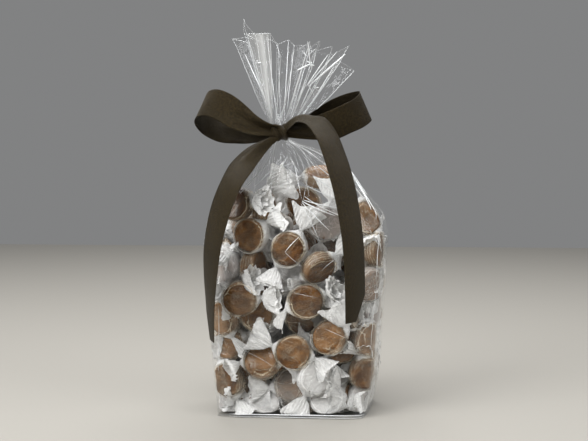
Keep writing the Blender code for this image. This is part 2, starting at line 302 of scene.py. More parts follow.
def paper_finish(colour):
    """Waxed paper: nearly clear where it clings to the caramel, white and crumpled where it stands off it.

    It reads these values of the paper: haze, how milky it is; tone, which differs from sweet to sweet; lift,
    whether it stands off; collar, how white a sweet's edge is; grain, its way round and along the paper and
    how loose it is; and spot, a place on the sweet, whose face looks along Z."""
    f = Finish("waxed_paper")
    place = f.object_place()
    haze, tone = f.attribute("haze"), f.attribute("tone")
    grain, spot = f.attribute("grain", "Vector"), f.attribute("spot", "Vector")
    round_it, _, loose = f.split(grain)
    _, _, high = f.split(spot)
    flat = f.node("ShaderNodeVectorMath", {"operation": "LENGTH"}, {0: f.stretch(spot, (1, 1, 0))}, "Value")
    lift = f.attribute("lift") * (f.attribute("collar") + f.ramp(loose, 0.1, 0.4)).clamped()

    folds = f.noise(f.stretch(grain, (34.0, 4.5, 1.0)), 1.0, 3.0, 0.6, 1.2)
    crumple = f.noise(place, 230.0, 3.0, 0.6, 0.8)
    fine = f.noise(place, 900.0, 2.0)
    wander = f.noise(place, 75.0, 2.0, 0.5, 0.4)
    patch = f.noise(place, 48.0, 1.0, 0.5, 0.3)
    bend = f.noise(place, 105.0, 2.0, 0.55, 0.9)

    # The paper's edge along the roll, one layer more beyond it, thin lines on the face drawn whiter as
    # painted glints of its wrinkles, arcs at the face's rim that are whiter partly as paper gathered over the
    # edge and partly as a painted highlight, slanting wraps round the side, and painted highlight streaks
    # along the pleats.
    seam = (round_it + wander * 0.2 + crumple * 0.03 + tone * 0.1).folded(0.5)
    line = f.ramp(abs(seam - 0.31), 0.007, 0.0015) * f.ramp(patch, 0.4, 0.6)
    overlap = f.ramp(seam, 0.31, 0.315) * 0.04
    wrinkle_and_painted_glint = f.ramp(abs(bend - 0.5), 0.05, 0.005) * f.ramp(wander, 0.4, 0.58)
    rim = f.ramp(abs(flat - 13.1 + (wander - 0.5) * 4), 0.9, 0.1) * f.ramp(patch, 0.42, 0.6)
    wrap = f.ramp((high * 0.42 + crumple * 1.4).folded(0.5), 0.1, 0.02) * f.ramp(flat, 13.6, 14.2)
    painted_streak = f.ramp(folds, 0.6, 0.7)

    # Painted highlights: paper that clings is drawn whiter on the tops of its crumples, in the painted
    # streaks and along the thin lines of its wrinkles; paper that stands off is whiter in the same streaks
    # and on the crumples' tops.
    cling = haze**2 * 0.7 + f.ramp(crumple, 0.6, 0.72) * 0.08 + painted_streak * 0.13 + line * 0.4 + overlap
    cling = cling + wrinkle_and_painted_glint * 0.17 + rim * 0.4 + wrap * 0.3
    stand = 0.84 + painted_streak * 0.16 + f.ramp(crumple, 0.45, 0.62) * 0.08
    cover = (cling * (1 - lift) + stand * lift).clamped()
    normal = f.bump(folds * 1.3 + crumple * 0.35 + fine * 0.06 + (line + wrinkle_and_painted_glint) * 0.3, 0.8, 0.0012)

    # Painted light: paper that clings to a clear sweet is tinted cream, as if lit by light passed through the
    # caramel and back; milky and lifted paper stays white.
    painted_caramel_light = tuple(c * k for c, k in zip(colour, (1.0, 0.86, 0.64)))
    shade = f.blend((lift + f.ramp(haze, 0.25, 0.6)).clamped(), (*painted_caramel_light, 1), (*colour, 1))
    # Painted shade: the paper is up to 12% darker where the crumple noise is low, in the hollows of its
    # bumps.
    shade = f.blend(f.ramp(crumple, 0.6, 0.3) * 0.12, shade, (0, 0, 0, 1))
    sockets = {
        "Base Color": shade,
        "Roughness": 0.3 + crumple * 0.25,
        "Specular IOR Level": 0.5,
        "Normal": normal,
    }
    glow = f.node("ShaderNodeBsdfTranslucent", {}, {"Color": (*colour, 1), "Normal": normal})
    body = f.shader_mix(0.09, f.principled(sockets), glow)
    return f.done(f.shader_mix(cover, f.clear(), body))


def film_finish(colour):
    """Clear film: mirror-like glints, faint grey haze, and painted highlights: bright white lines along its
    creases and on fine wrinkles.
    """
    f = Finish("clear_film")
    place = f.object_place()
    crease = f.attribute("crease")
    ripple = f.noise(place, 34.0, 2.0, 0.5, 1.0)
    wrinkle_and_painted_glint = f.noise(place, 150.0, 2.0, 0.5, 1.2)
    # Painted highlights: the value read above and the thin lines of the fine wrinkles draw the film whiter
    # and less like a mirror, whatever the light.
    fine = f.ramp(wrinkle_and_painted_glint, 0.63, 0.72) * 0.1
    line = (crease + fine).clamped()
    normal = f.bump(ripple + wrinkle_and_painted_glint * 0.3, 0.6, 0.002)
    edge = f.node("ShaderNodeLayerWeight", {}, {"Blend": 0.5, "Normal": normal}, "Facing")
    cover = (edge**4 * 0.75 + line**2 * 0.85 + 0.02).clamped()
    sockets = {
        "Base Color": (*colour, 1),
        "Metallic": 1 - line * 0.7,
        "Roughness": 0.05 + line * 0.3,
        "Normal": normal,
    }
    shine = f.principled(sockets)
    return f.done(f.shader_mix(cover, f.clear(), shine))


def ribbon_finish(colour, light):
    """Dark ribbon with fine ribs across it, threads along it, and painted shade on one side of each run,
    which on the loops is their inside.
    """
    f = Finish("ribbon_weave")
    grain = f.attribute("grain", "Vector")
    across, run, back = f.split(grain)
    ribs = (run * (tau / RIB_PITCH)).sine() * 0.5 + 0.5
    threads = (across * (tau / THREAD_PITCH)).sine() * 0.5 + 0.5
    slub = f.noise(f.stretch(grain, (560.0, 430.0, 1.0)), 1.0, 2.0, 0.75)
    cloud = f.noise(f.object_place(), 60.0, 3.0)
    share = f.ramp(ribs * 0.15 + slub * 1.5 + cloud * 0.2, 0.74, 1.2)
    base = f.blend(share, (*colour, 1), (*light, 1))
    # Painted shade: the side marked in the grain's third value is darkened towards the dark colour.
    base = f.blend(back * 0.85, base, (*colour, 1))
    height = ribs * 0.5 + threads * 0.2 + slub * 1.2
    sockets = {
        "Base Color": base,
        "Roughness": 0.34 + slub * 0.2,
        "Specular IOR Level": 0.3,
        "Specular Tint": (1.0, 0.8, 0.5, 1),
        "Sheen Weight": 0.02,
        "Sheen Roughness": 0.35,
        "Normal": f.bump(height, 1.0, 0.0006),
    }
    return f.done(f.principled(sockets))


def floor_finish(colour):
    """Pale matt counter with the faintest grain."""
    f = Finish("pale_floor")
    speck = f.noise(f.object_place(), 260.0, 4.0, 0.7)
    low = tuple(c * 0.94 for c in colour)
    base = f.blend(speck, (*low, 1), (*colour, 1))
    return f.done(f.principled({"Base Color": base, "Roughness": 0.55}))


# ---------------------------------------------------------------- mesh helpers


def grid_faces(rows, columns, closed):
    """Faces of a grid of points, closed round its columns or open."""
    span = columns if closed else columns - 1
    i, j = np.meshgrid(np.arange(rows - 1), np.arange(span), indexing="ij")
    k = (j + 1) % columns
    quads = [i * columns + j, i * columns + k, (i + 1) * columns + k, (i + 1) * columns + j]
    return np.stack([q.ravel() for q in quads], axis=1)


def ring_cap(first, count, backwards=False):
    """One face across a ring of points, which closes a pole or the end of a tube."""
    ring = list(range(first, first + count))
    return [ring[::-1] if backwards else ring]


def add_object(name, data):
    """A new object in the scene."""
    item = bpy.data.objects.new(name, data)
    bpy.context.scene.collection.objects.link(item)
    return item


def make_mesh(name, points, faces, attributes=(), smooth=True, edges=()):
    """A mesh object from millimetre points, faces by index, and named values for each point."""
    mesh = bpy.data.meshes.new(name)
    mesh.from_pydata((np.asarray(points) * MM).tolist(), list(edges), [list(face) for face in faces])
    for key, kind, values in attributes:
        layer = mesh.attributes.new(key, kind, "POINT")
        field = {"FLOAT": "value", "FLOAT_VECTOR": "vector", "QUATERNION": "value"}[kind]
        layer.data.foreach_set(field, np.asarray(values, dtype=np.float32).ravel())
    if smooth and len(faces):
        mesh.shade_smooth()
    mesh.update()
    return add_object(name, mesh)


def points_of(item):
    """An object's points in millimetres."""
    flat = np.empty(len(item.data.vertices) * 3, dtype=np.float32)
    item.data.vertices.foreach_get("co", flat)
    return flat.reshape(-1, 3).astype(float) / MM


def move_points(item, points):
    """Gives an object's points new places in millimetres."""
    item.data.vertices.foreach_set("co", (points * MM).astype(np.float32).ravel())
    item.data.update()


def eased(value):
    """0 below 0, 1 above 1, and a smooth curve between."""
    value = np.clip(value, 0.0, 1.0)
    return value * value * (3 - 2 * value)


def smooth_rows(rows, count):
    """A table's rows resampled along its first column by a smooth curve."""
    rows = np.array(rows, dtype=float)
    at = rows[:, 0]
    slope = np.gradient(rows, at, axis=0)
    new = np.linspace(at[0], at[-1], count)
    i = np.clip(np.searchsorted(at, new, side="right") - 1, 0, len(at) - 2)
    span = (at[i + 1] - at[i])[:, None]
    t = ((new - at[i]) / (at[i + 1] - at[i]))[:, None]
    start, end = rows[i], rows[i + 1]
    value = (2 * t**3 - 3 * t**2 + 1) * start + (3 * t**2 - 2 * t**3) * end
    bend = (t**3 - 2 * t**2 + t) * slope[i] + (t**3 - t**2) * slope[i + 1]
    out = value + span * bend
    out[:, 0] = new
    return out


def zigzag(angle, corners, heights):
    """A folded line round a circle: straight between its corners, with a height at each."""
    order = np.argsort(corners)
    at = np.concatenate([corners[order] - tau, corners[order], corners[order] + tau])
    return np.interp(np.mod(angle, tau), at, np.tile(heights[order], 3))


def folds_round(rng, count, spread=0.35):
    """Corners and heights of a ring of uneven folds, up and down in turn."""
    step = tau / (2 * count)
    corners = np.mod((np.arange(2 * count) + rng.uniform(-spread, spread, 2 * count)) * step, tau)
    heights = np.where(np.arange(2 * count) % 2 == 0, 1.0, -1.0) * rng.uniform(0.35, 1.0, 2 * count)
    return corners, heights


# ---------------------------------------------------------------- the shape of one sweet


def disc_piece():
    """A caramel: a thick round disc with soft edges. Its face looks along Z and its paper twists along X."""
    r, t = DISC_RADIUS, DISC_HALF
    profile = [(0.02, t - 0.7), (4, t - 0.65), (8, t - 0.45), (r - 3.6, t - 0.1), (r - 2.6, t + 0.05)]
    profile += [(r - 1.5, t - 0.3), (r - 0.6, t - 1.2), (r - 0.1, t - 2.6), (r, 0)]
    profile += [(a, -z) for a, z in reversed(profile[:-1])]
    sides = DISC_SIDES
    angle = np.arange(sides) * tau / sides
    wobble = 1 + 0.012 * np.sin(2 * angle + 0.5) + 0.008 * np.sin(3 * angle + 2)
    rows = []
    for radius, z in profile:
        dent = (0.2 * np.sin(angle * 2 + 1.0) + 0.08 * np.sin(angle * 5)) * (radius / r) ** 2 * np.sign(z)
        rows.append(np.stack([radius * wobble * np.cos(angle), radius * wobble * np.sin(angle), z + dent], 1))
    points = np.concatenate(rows)
    faces = grid_faces(len(profile), sides, True)[:, ::-1].tolist()
    faces += ring_cap(0, sides) + ring_cap(len(points) - sides, sides, True)
    return make_mesh("caramel_disc", points, faces)


def sleeve_rows(reach, slack):
    """Half width and half height of the paper round the caramel at a distance from its middle."""
    r = DISC_RADIUS + PAPER_GAP + slack
    touch = r * r / (PINCH_REACH + 3.5)
    if reach < touch:
        wide = (r * r - reach**2) ** 0.5
    else:
        wide = float(np.interp(reach, [touch, PINCH_REACH], [(r * r - touch**2) ** 0.5, PINCH_RADIUS]))
    share = float(np.interp(reach, [0, 11.2, 12.8, 14.5, PINCH_REACH], [1, 1, 0.88, 0.6, 0.0]))
    return wide, PINCH_RADIUS + (DISC_HALF + PAPER_GAP - PINCH_RADIUS) * share


def sleeve_piece(name, seed, slack):
    """The paper wound round the caramel, standing off its two sides, drawn in to a pinch at both ends."""
    rng = np.random.default_rng(seed)
    reach = np.array([0, 3.5, 7, 9.5, 11.2, 12.4, 13.4, 14.3, 15.2, 16.1, 17.0, 17.7, PINCH_REACH])
    places = np.concatenate([-reach[:0:-1], reach])
    sides = SLEEVE_SIDES
    angle = np.arange(sides) * tau / sides
    folds = [folds_round(rng, 10), folds_round(rng, 11)]
    rows, grain = [], []
    for x in places:
        side = np.where(np.cos(angle) > 0, slack[0], slack[1])
        wander = 0.6 + 0.4 * np.sin(x * 0.21 + rng.uniform(0, 1) + 2 * side)
        shapes = [sleeve_rows(abs(x), float(v) * float(w)) for v, w in zip(side, wander)]
        wide, high = np.array(shapes).T
        gather = float(eased((abs(x) - 9.0) / (PINCH_REACH - 9.0)))
        power = 7.0 - 5.0 * gather
        c, s = np.cos(angle), np.sin(angle)
        radius = outline(c, s, wide, high, power, -1)
        twist = 1.4 * gather**3 * np.sign(x)
        pleat = zigzag(angle + twist, *folds[int(x > 0)])
        rough = 0.5 * gather * rng.uniform(-1, 1, sides) * (1 - gather)
        radius = radius * (1 + 0.34 * gather * pleat) + rough
        rows.append(np.stack([np.full(sides, x), radius * c, radius * s], 1))
        grain.append(np.stack([angle / tau, np.full(sides, x / 40), np.full(sides, 0.5 * gather**2)], 1))
    points = np.concatenate(rows)
    out = np.hypot(points[:, 0], points[:, 1]) - DISC_RADIUS
    lift = eased((out - PAPER_GAP + 0.15) / 0.7)
    faces = grid_faces(len(places), sides, True).tolist()
    faces += ring_cap(0, sides, True) + ring_cap(len(points) - sides, sides)
    extra = [("lift", "FLOAT", lift), ("grain", "FLOAT_VECTOR", np.concatenate(grain))]
    return make_mesh(name, points, faces, [*extra, ("spot", "FLOAT_VECTOR", points)])


# Each kind of paper end: its length, half width, half thickness, folds, how deep they are, how far it bends
# back in degrees, and how much its edge wanders. A kind whose folds have no depth is a round cup of paper.
TAIL_KINDS = {
    "fan": (20.0, 14.0, 2.0, 11, 1.7, 12, 0.12),
    "wide": (23.0, 17.0, 1.8, 13, 1.8, -14, 0.14),
    "leaf": (20.0, 11.5, 4.0, 9, 1.9, 24, 0.24),
    "strap": (21.0, 6.5, 2.2, 6, 1.4, 20, 0.16),
    "rosette": (13.0, 13.0, 11.5, 12, 0.0, 0, 0.1),
    "bowl": (16.5, 14.0, 8.5, 10, 0.0, 20, 0.12),
}
KIND_CHANCE = (0.34, 0.16, 0.12, 0.12, 0.14, 0.12)  # of each kind in turn, away from the front
OUTER_LAYER, INNER_LAYER = (60, 16), (36, 11)  # sides and rows of points of a paper end's layers
INNER_SHARE = 0.52  # the size of a cup's inner layer
FOLD_POINTS = 61
END_STYLES = 2  # variants of each kind


def tail_sheet(rng, kind, inner):
    """Rows of points of one layer of a paper end; an inner layer is smaller and fills a rosette's middle."""
    length, wide, thick, count, depth, bend, wander = TAIL_KINDS[kind]
    wide, thick, length = wide * inner, thick * inner, length * (0.75 + 0.25 * inner)
    sides, steps = OUTER_LAYER if inner == 1 else INNER_LAYER
    angle = np.arange(sides) * tau / sides
    c, s = np.cos(angle), np.sin(angle)
    corners, heights = folds_round(rng, count if inner == 1 else 7)
    edge = 1 + wander * zigzag(angle, *folds_round(rng, 3, 0.6))
    round_turn = np.linspace(0, tau, FOLD_POINTS)
    sheet = zigzag(round_turn, corners, heights)
    curl = rng.uniform(-0.5, 0.5, 3)
    rows, crumple = [], rng.uniform(-1, 1, (steps, sides))
    for i in range(steps):
        t = i / (steps - 1)
        open_up = t ** (0.8 if thick < 5 else 0.62)
        rope = eased((t - 0.05) / 0.25)
        core = PINCH_RADIUS * (0.9 - 0.25 * sin(pi * t))
        half_wide = core + (wide - PINCH_RADIUS) * open_up * rope
        half_thick = core + (thick - PINCH_RADIUS) * open_up * rope
        twist = 2.6 * (1 - t) ** 3 + curl[0] * t + (1.2 * t if inner < 1 else 0)
        pleat = zigzag(angle + twist, corners, heights)
        x = length * t * (1 + (edge - 1) * t)
        y, z = half_wide * c, half_thick * s
        if depth:
            across = (y / wide + 1) * pi
            z = z + depth * t**0.7 * np.interp(across, round_turn, sheet)
            z = z * (0.55 + 0.45 * rope) + 0.1 * crumple[i] * rope
            y = y * (1 + 0.15 * (1 - rope) * pleat) + 0.08 * crumple[i]
        else:
            fold = 1 + (0.32 - 0.16 * t) * pleat * (1 if inner == 1 else 1.4)
            y, z = y * fold, z * fold
            x = x + 0.35 * pleat * t + 0.12 * crumple[i] * rope
        turn = radians(bend) * t * 1.2
        lift = x * np.sin(turn) + curl[1] * 4 * t**2 * np.sin(y / wide * 2 + curl[2] * 4)
        rows.append(np.stack([x * np.cos(turn) - z * np.sin(turn) * 0.3, y, z + lift * 0.6], 1))
    return np.array(rows), angle


def tail_piece(name, kind, seed):
    """One twisted end of the paper. It starts at the origin, runs along X and lies flat to Z."""
    rng = np.random.default_rng(seed)
    points, faces, grain = [], [], []
    for inner in (1,) if TAIL_KINDS[kind][4] else (1, INNER_SHARE):
        rows, angle = tail_sheet(rng, kind, inner)
        steps, sides, _ = rows.shape
        start = sum(len(p) for p in points)
        faces += (grid_faces(steps, sides, True) + start).tolist() + ring_cap(start, sides, True)
        points.append(rows.reshape(-1, 3))
        round_it = np.tile(angle / tau, steps)
        grain.append(np.stack([round_it, rows[..., 0].ravel() / 40, np.full(steps * sides, 0.5)], 1))
    points, grain = np.concatenate(points), np.concatenate(grain)
    extra = [("lift", "FLOAT", np.ones(len(points))), ("grain", "FLOAT_VECTOR", grain)]
    return make_mesh(name, points, faces, extra)


# ---------------------------------------------------------------- the space inside the bag

PILE_TOP = ([-75, -60, -30, -12, 30, 50, 75], [165, 180, 195, 208, 208, 196, 170])  # places across, heights
BASE_ROOM, WALL_ROOM = 1.0, 0.6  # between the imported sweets' balls and the film


def body_shape(height):
    """Middle, half width, half depth and squareness of the body at heights in millimetres."""
    rows = smooth_rows(BODY_SECTIONS, int(NECK_TOP) + 1)  # one for each millimetre
    return [np.interp(height, rows[:, 0], rows[:, column]) for column in (1, 2, 3, 4)]


def outline(across, back, wide, deep, square, sign=1):
    """How far out a place is in a rounded rectangle, 1 at its edge. With sign -1 and a direction, instead of
    a place, it's how far away the edge is that way."""
    return (np.abs(across / wide) ** square + np.abs(back / deep) ** square) ** (sign / square)


def gathered(height):
    """How far the film is drawn in at a height: 0 on the body, 1 at the neck."""
    return eased((np.asarray(height) - GATHER_START) / (NECK_HEIGHT - GATHER_START))


def unsheared(points):
    """Across, back and up from the bag's own axis, with its slump to the right taken out."""
    middle, _, _, _ = body_shape(points[:, 2])
    gather = gathered(points[:, 2])
    back = points[:, 1] - NECK[1] * gather
    across = points[:, 0] - middle - back * SHEAR * (1 - gather)
    return across, back


def sheared(across, back, up):
    """The reverse of unsheared."""
    middle, _, _, _ = body_shape(up)
    gather = gathered(up)
    return np.stack([middle + across + back * SHEAR * (1 - gather), NECK[1] * gather + back, up], -1)


def kept_inside(points, radius):
    """Points moved so that balls of the radii round them are inside the bag and under the top of the pile."""
    points = points.copy()
    points[:, 2] = np.maximum(points[:, 2], radius + BASE_ROOM)
    points[:, 2] = np.minimum(points[:, 2], np.interp(points[:, 0], *PILE_TOP) - radius)
    _, wide, deep, square = body_shape(points[:, 2])
    across, back = unsheared(points)
    wide, deep = wide - radius - WALL_ROOM, deep - radius - WALL_ROOM
    reach = outline(across, back, wide, deep, square)
    pull = np.where(reach > 1, 1 / np.maximum(reach, 1e-6), 1.0)
    return sheared(across * pull, back * pull, points[:, 2])


def front_of_bag(across, up):
    """How far back the film's front is, at a place given across the view and up."""
    middle, wide, deep, square = (float(v) for v in body_shape(up))
    y = -deep
    for _ in range(4):
        x = across * cos(BOW_TURN) - middle - SHEAR * y
        y = -deep * max(1e-3, 1 - abs(x / wide) ** square) ** (1 / square) if abs(x) < wide else 0.0
    return y


def frame_from(face, twist):
    """A turn whose Z is the face's direction and whose X is the twist's, squared to the face."""
    z = face / np.linalg.norm(face)
    x = twist - z * (twist @ z)
    x = x / np.linalg.norm(x)
    return np.stack([x, np.cross(z, x), z], axis=1)


def any_turn(rng):
    """A random turn, as a matrix."""
    q = rng.normal(size=4)
    w, x, y, z = q / np.linalg.norm(q)
    return np.array(
        [
            [1 - 2 * (y * y + z * z), 2 * (x * y - z * w), 2 * (x * z + y * w)],
            [2 * (x * y + z * w), 1 - 2 * (x * x + z * z), 2 * (y * z - x * w)],
            [2 * (x * z - y * w), 2 * (y * z + x * w), 1 - 2 * (x * x + y * y)],
        ]
    )


# ---------------------------------------------------------------- packing the sweets

# A sweet as balls: its middle, a ring, its two pinches and its two soft ends.
RING_BALLS = [(8.2 * cos(k * tau / 8), 8.2 * sin(k * tau / 8), 0, 6.3) for k in range(8)]
END_BALLS = [(17, 0, 0, 2.6), (-17, 0, 0, 2.6), (23, 0, 0, 4.0), (-23, 0, 0, 4.0)]
BALLS = np.array([(0, 0, 0, 6.6), *RING_BALLS, *END_BALLS])
BALL_WEIGHT = np.array([1.0] * 9 + [0.6, 0.6, 0.22, 0.22])  # the soft ends give way first
CARAMEL_BALLS = 9  # the first of them are the caramel itself
SWEET_REACH, BALL_REACH = 52, 18  # sweets, and balls, further apart than this are not compared
FRONT_GAP = 1.2  # between the film and the sweets at the front
HELD_MOVE = 1.2  # how far the packing may move those across and up, and 2.5 times as far back and forth
WALL_HEIGHTS = np.arange(17, 185, 27)
WALL_COUNT, WALL_GAP = 8, 9  # sweets in each row along the walls, and their middles' distance from the film
PACKING_STEPS = 260
# Its columns are the directions across, into and up the view.
VIEW = np.array([[cos(BOW_TURN), -sin(BOW_TURN), 0], [sin(BOW_TURN), cos(BOW_TURN), 0], [0, 0, 1]])


def front_layer():
    """Places and turns of the sweets against the front of the bag."""
    places, turns = [], []
    for across, up, behind, right, tip, slope, *_ in FRONT_SWEETS:
        a, b, s = radians(right), radians(tip), radians(slope)
        face = VIEW @ np.array([sin(a) * cos(b), -cos(a) * cos(b), sin(b)])
        turn = frame_from(face, VIEW @ np.array([cos(s), 0, sin(s)]))
        facing = abs(face @ (VIEW @ np.array([0, 1, 0])))
        thick = DISC_HALF * facing + DISC_RADIUS * (1 - facing**2) ** 0.5
        y = front_of_bag(across, up) + thick + FRONT_GAP + behind
        x = across * cos(BOW_TURN) - y * sin(BOW_TURN)
        places.append((x, y, up))
        turns.append(turn)
    return np.array(places), np.array(turns)


def wall_layer(rng):
    """Places and turns of sweets lying loosely against the sides and the back of the bag."""
    places, turns = [], []
    for row, up in enumerate(WALL_HEIGHTS):
        _, wide, deep, square = (float(v) for v in body_shape(up))
        for k in range(WALL_COUNT):
            angle = (k + 0.5 * (row % 2) + rng.uniform(-0.2, 0.2)) / WALL_COUNT * pi * 1.16 - pi * 0.08
            c, s = cos(angle), sin(angle)
            reach = outline(c, s, wide - WALL_GAP, deep - WALL_GAP, square, -1)
            place = sheared(np.array(reach * c), np.array(reach * s), np.array(up + rng.uniform(-6, 6)))
            out = np.array([c * reach / wide**2, s * reach / deep**2, 0])
            out = out / np.linalg.norm(out) + rng.normal(0, 0.35, 3)
            places.append(place)
            turns.append(frame_from(out, rng.normal(size=3)))
    return np.array(places), np.array(turns)


def touching(places, flat):
    """The pairs of balls of different sweets that are near enough to compare."""
    gap = np.linalg.norm(places[:, None] - places[None], axis=2)
    near_a, near_b = np.nonzero(np.triu(gap < SWEET_REACH, 1))
    k = len(BALLS)
    first = (near_a[:, None, None] * k + np.arange(k)[None, :, None]).repeat(k, 2).ravel()
    second = (near_b[:, None, None] * k + np.arange(k)[None, None, :]).repeat(k, 1).ravel()
    close = np.linalg.norm(flat[first] - flat[second], axis=1) < BALL_REACH
    return first[close], second[close]


def pushes(flat, radius, weight, first, second):
    """How far each ball is to move: off its neighbours, back inside the bag, and a little down."""
    apart = flat[second] - flat[first]
    gap = np.linalg.norm(apart, axis=1) + 1e-9
    overlap = np.maximum(radius[first] + radius[second] - gap, 0)
    overlap *= np.minimum(weight[first], weight[second])
    hit = overlap > 0
    push = apart[hit] / gap[hit, None] * overlap[hit, None] * 0.32
    move = np.zeros_like(flat)
    for axis in range(3):
        move[:, axis] += np.bincount(second[hit], push[:, axis], len(flat))
        move[:, axis] -= np.bincount(first[hit], push[:, axis], len(flat))
    move += (kept_inside(flat, radius) - flat) * 0.8 * weight[:, None]
    move[:, 2] -= 0.12 * weight
    return np.clip(move, -3, 3)


def fitted_turns(target, middle, local, share):
    """The turns that bring each sweet's balls nearest to where they were pushed."""
    spread = np.einsum("nki,kj,k->nij", target - middle[:, None], local, share)
    u, _, vt = np.linalg.svd(spread + 1e-9 * np.eye(3))
    u[:, :, 2] *= np.sign(np.linalg.det(u @ vt))[:, None]
    return u @ vt


def packed(loose_count):
    """Places and turns of the sweets once they have pushed each other apart, and how many are held."""
    rng = np.random.default_rng(SEED)
    front_places, front_turns = front_layer()
    wall_places, wall_turns = wall_layer(rng)
    spans = ((-55, 55), (-18, 22), (12, 190))
    loose = np.stack([rng.uniform(low, high, loose_count) for low, high in spans], 1)
    places = np.concatenate([front_places, wall_places, loose])
    turns = np.concatenate([front_turns, wall_turns, np.array([any_turn(rng) for _ in range(loose_count)])])
    count, held = len(places), len(front_places)
    home = places.copy()
    local, size = BALLS[:, :3], BALLS[:, 3]
    weight = np.tile(BALL_WEIGHT, count)
    share = BALL_WEIGHT / BALL_WEIGHT.sum()
    for step in range(PACKING_STEPS):
        grow = min(1.0, 0.55 + 0.6 * step / PACKING_STEPS)
        flat = (places[:, None] + np.einsum("nij,kj->nki", turns, local)).reshape(-1, 3)
        if step % 8 == 0:
            first, second = touching(places, flat)
        move = pushes(flat, np.tile(size, count) * grow, weight, first, second)
        target = (flat + move).reshape(count, -1, 3)
        places = np.einsum("nki,k->ni", target, share)
        fitted = fitted_turns(target, places, local, share)
        drift = np.clip(places[:held] - home[:held], -HELD_MOVE, HELD_MOVE)
        places[:held] = home[:held] + drift * np.array([1, 2.5, 1])
        turns[held:] = fitted[held:]
    return places, turns, held


def stated_aim(sweet, end):
    """The way that a front sweet's paper end points, as its row says."""
    way, rise, _ = FRONT_SWEETS[sweet][7 + end]
    a, b = radians(way), radians(rise)
    return VIEW @ np.array([cos(b) * cos(a), -sin(b), cos(b) * sin(a)])


def free_aim(root, along, others, other_size, taken, rng):
    """Of up to twenty ways out of a pinch, the one that runs least into caramels, paper ends and the film."""
    best = None
    for _ in range(20):
        aim = along + rng.normal(0, 0.55, 3)
        aim /= np.linalg.norm(aim)
        if aim @ along < 0.25:
            continue
        test = root + aim * np.array([[6.0], [11.0], [16.0]])
        room = np.linalg.norm(test[:, None] - others[None], axis=2) - other_size - np.array([[2], [3], [4]])
        cost = np.minimum(room, 0).sum() * -0.3
        if len(taken):
            cost += np.maximum(7 - np.linalg.norm(test[:, None] - taken[None], axis=2), 0).sum() * 0.2
        cost += np.abs(kept_inside(test, np.array([3.0, 3.0, 3.0])) - test).sum()
        if best is None or cost < best[0]:
            best = cost, aim
    return best[1]


def outward(root, rng):
    """The direction out of the bag's wall nearest to a place, a little off true."""
    across, back = unsheared(root[None])
    _, wide, deep, square = body_shape(root[2:3])
    out = np.sign([across[0], back[0]])
    out = out * np.abs([across[0] / wide[0], back[0] / deep[0]]) ** (square[0] - 1) / [wide[0], deep[0]]
    normal = np.array([out[0], out[1], 0.0])
    return normal / max(np.linalg.norm(normal), 1e-9) + rng.normal(0, 0.3, 3)


def tail_frames(places, turns, held, rng):
    """The root, turn and kind of both paper ends of every sweet."""
    caramel = BALLS[:CARAMEL_BALLS]
    discs = (places[:, None] + np.einsum("nij,kj->nki", turns, caramel[:, :3])).reshape(-1, 3)
    disc_size = np.tile(caramel[:, 3], len(places))
    disc_owner = np.repeat(np.arange(len(places)), CARAMEL_BALLS)
    taken = np.zeros((0, 3))
    roots, frames, names = [], [], []
    for i in range(len(places)):
        x_axis = turns[i][:, 0]
        first_sign = 1.0 if i >= held or x_axis @ stated_aim(i, 0) > 0 else -1.0
        others = disc_owner != i
        for end, sign in enumerate((first_sign, -first_sign)):
            root = places[i] + x_axis * sign * (PINCH_REACH - END_OVERLAP)
            if i < held:
                kind = FRONT_SWEETS[i][7 + end][2]
                aim = stated_aim(i, end)
                normal = VIEW @ np.array([0, -1, 0])
            else:
                kind = list(TAIL_KINDS)[int(rng.choice(len(TAIL_KINDS), p=KIND_CHANCE))]
                aim = free_aim(root, x_axis * sign, discs[others], disc_size[others], taken, rng)
                normal = outward(root, rng)
            taken = np.concatenate([taken, root + aim * np.array([[6.0], [13.0]])])
            z = normal - aim * (normal @ aim)
            z /= np.linalg.norm(z)
            frames.append(np.stack([aim, np.cross(z, aim), z], axis=1))
            roots.append(root)
            names.append(kind)
    return np.array(roots), np.array(frames), np.array(names)


# ---------------------------------------------------------------- scattering with Geometry Nodes


def new_tree(name, inputs):
    """A Geometry Nodes tree with named inputs beside its geometry, and the sockets that hold their values."""
    tree = bpy.data.node_groups.new(name, "GeometryNodeTree")
    tree.interface.new_socket("Geometry", in_out="INPUT", socket_type="NodeSocketGeometry")
    for title, kind in inputs.items():
        tree.interface.new_socket(title, in_out="INPUT", socket_type=kind)
    tree.interface.new_socket("Geometry", in_out="OUTPUT", socket_type="NodeSocketGeometry")
    return tree, tree.nodes.new("NodeGroupInput").outputs


def tree_node(tree, kind, settings, inputs, output=0):
    """Adds a node: its settings first, then the values or links of its inputs; gives one of its outputs."""
    made = tree.nodes.new(kind)
    for key, value in settings.items():
        setattr(made, key, value)
    for key, value in inputs.items():
        if isinstance(value, bpy.types.NodeSocket):
            tree.links.new(value, made.inputs[key])
        else:
            made.inputs[key].default_value = value
    return made.outputs[output] if made.outputs else None


def own_value(tree, name, kind="FLOAT"):
    """The value of that name that each point carries."""
    kind = {"data_type": kind}
    return tree_node(tree, "GeometryNodeInputNamedAttribute", kind, {"Name": name}, "Attribute")


def finished_tree(tree, geometry, finish):
    """Ends a tree: its instances are made real, and given their material."""
    real = tree_node(tree, "GeometryNodeRealizeInstances", {}, {"Geometry": geometry})
    done = tree_node(tree, "GeometryNodeSetMaterial", {}, {"Geometry": real, "Material": finish})
    tree_node(tree, "NodeGroupOutput", {}, {"Geometry": done})
    return tree


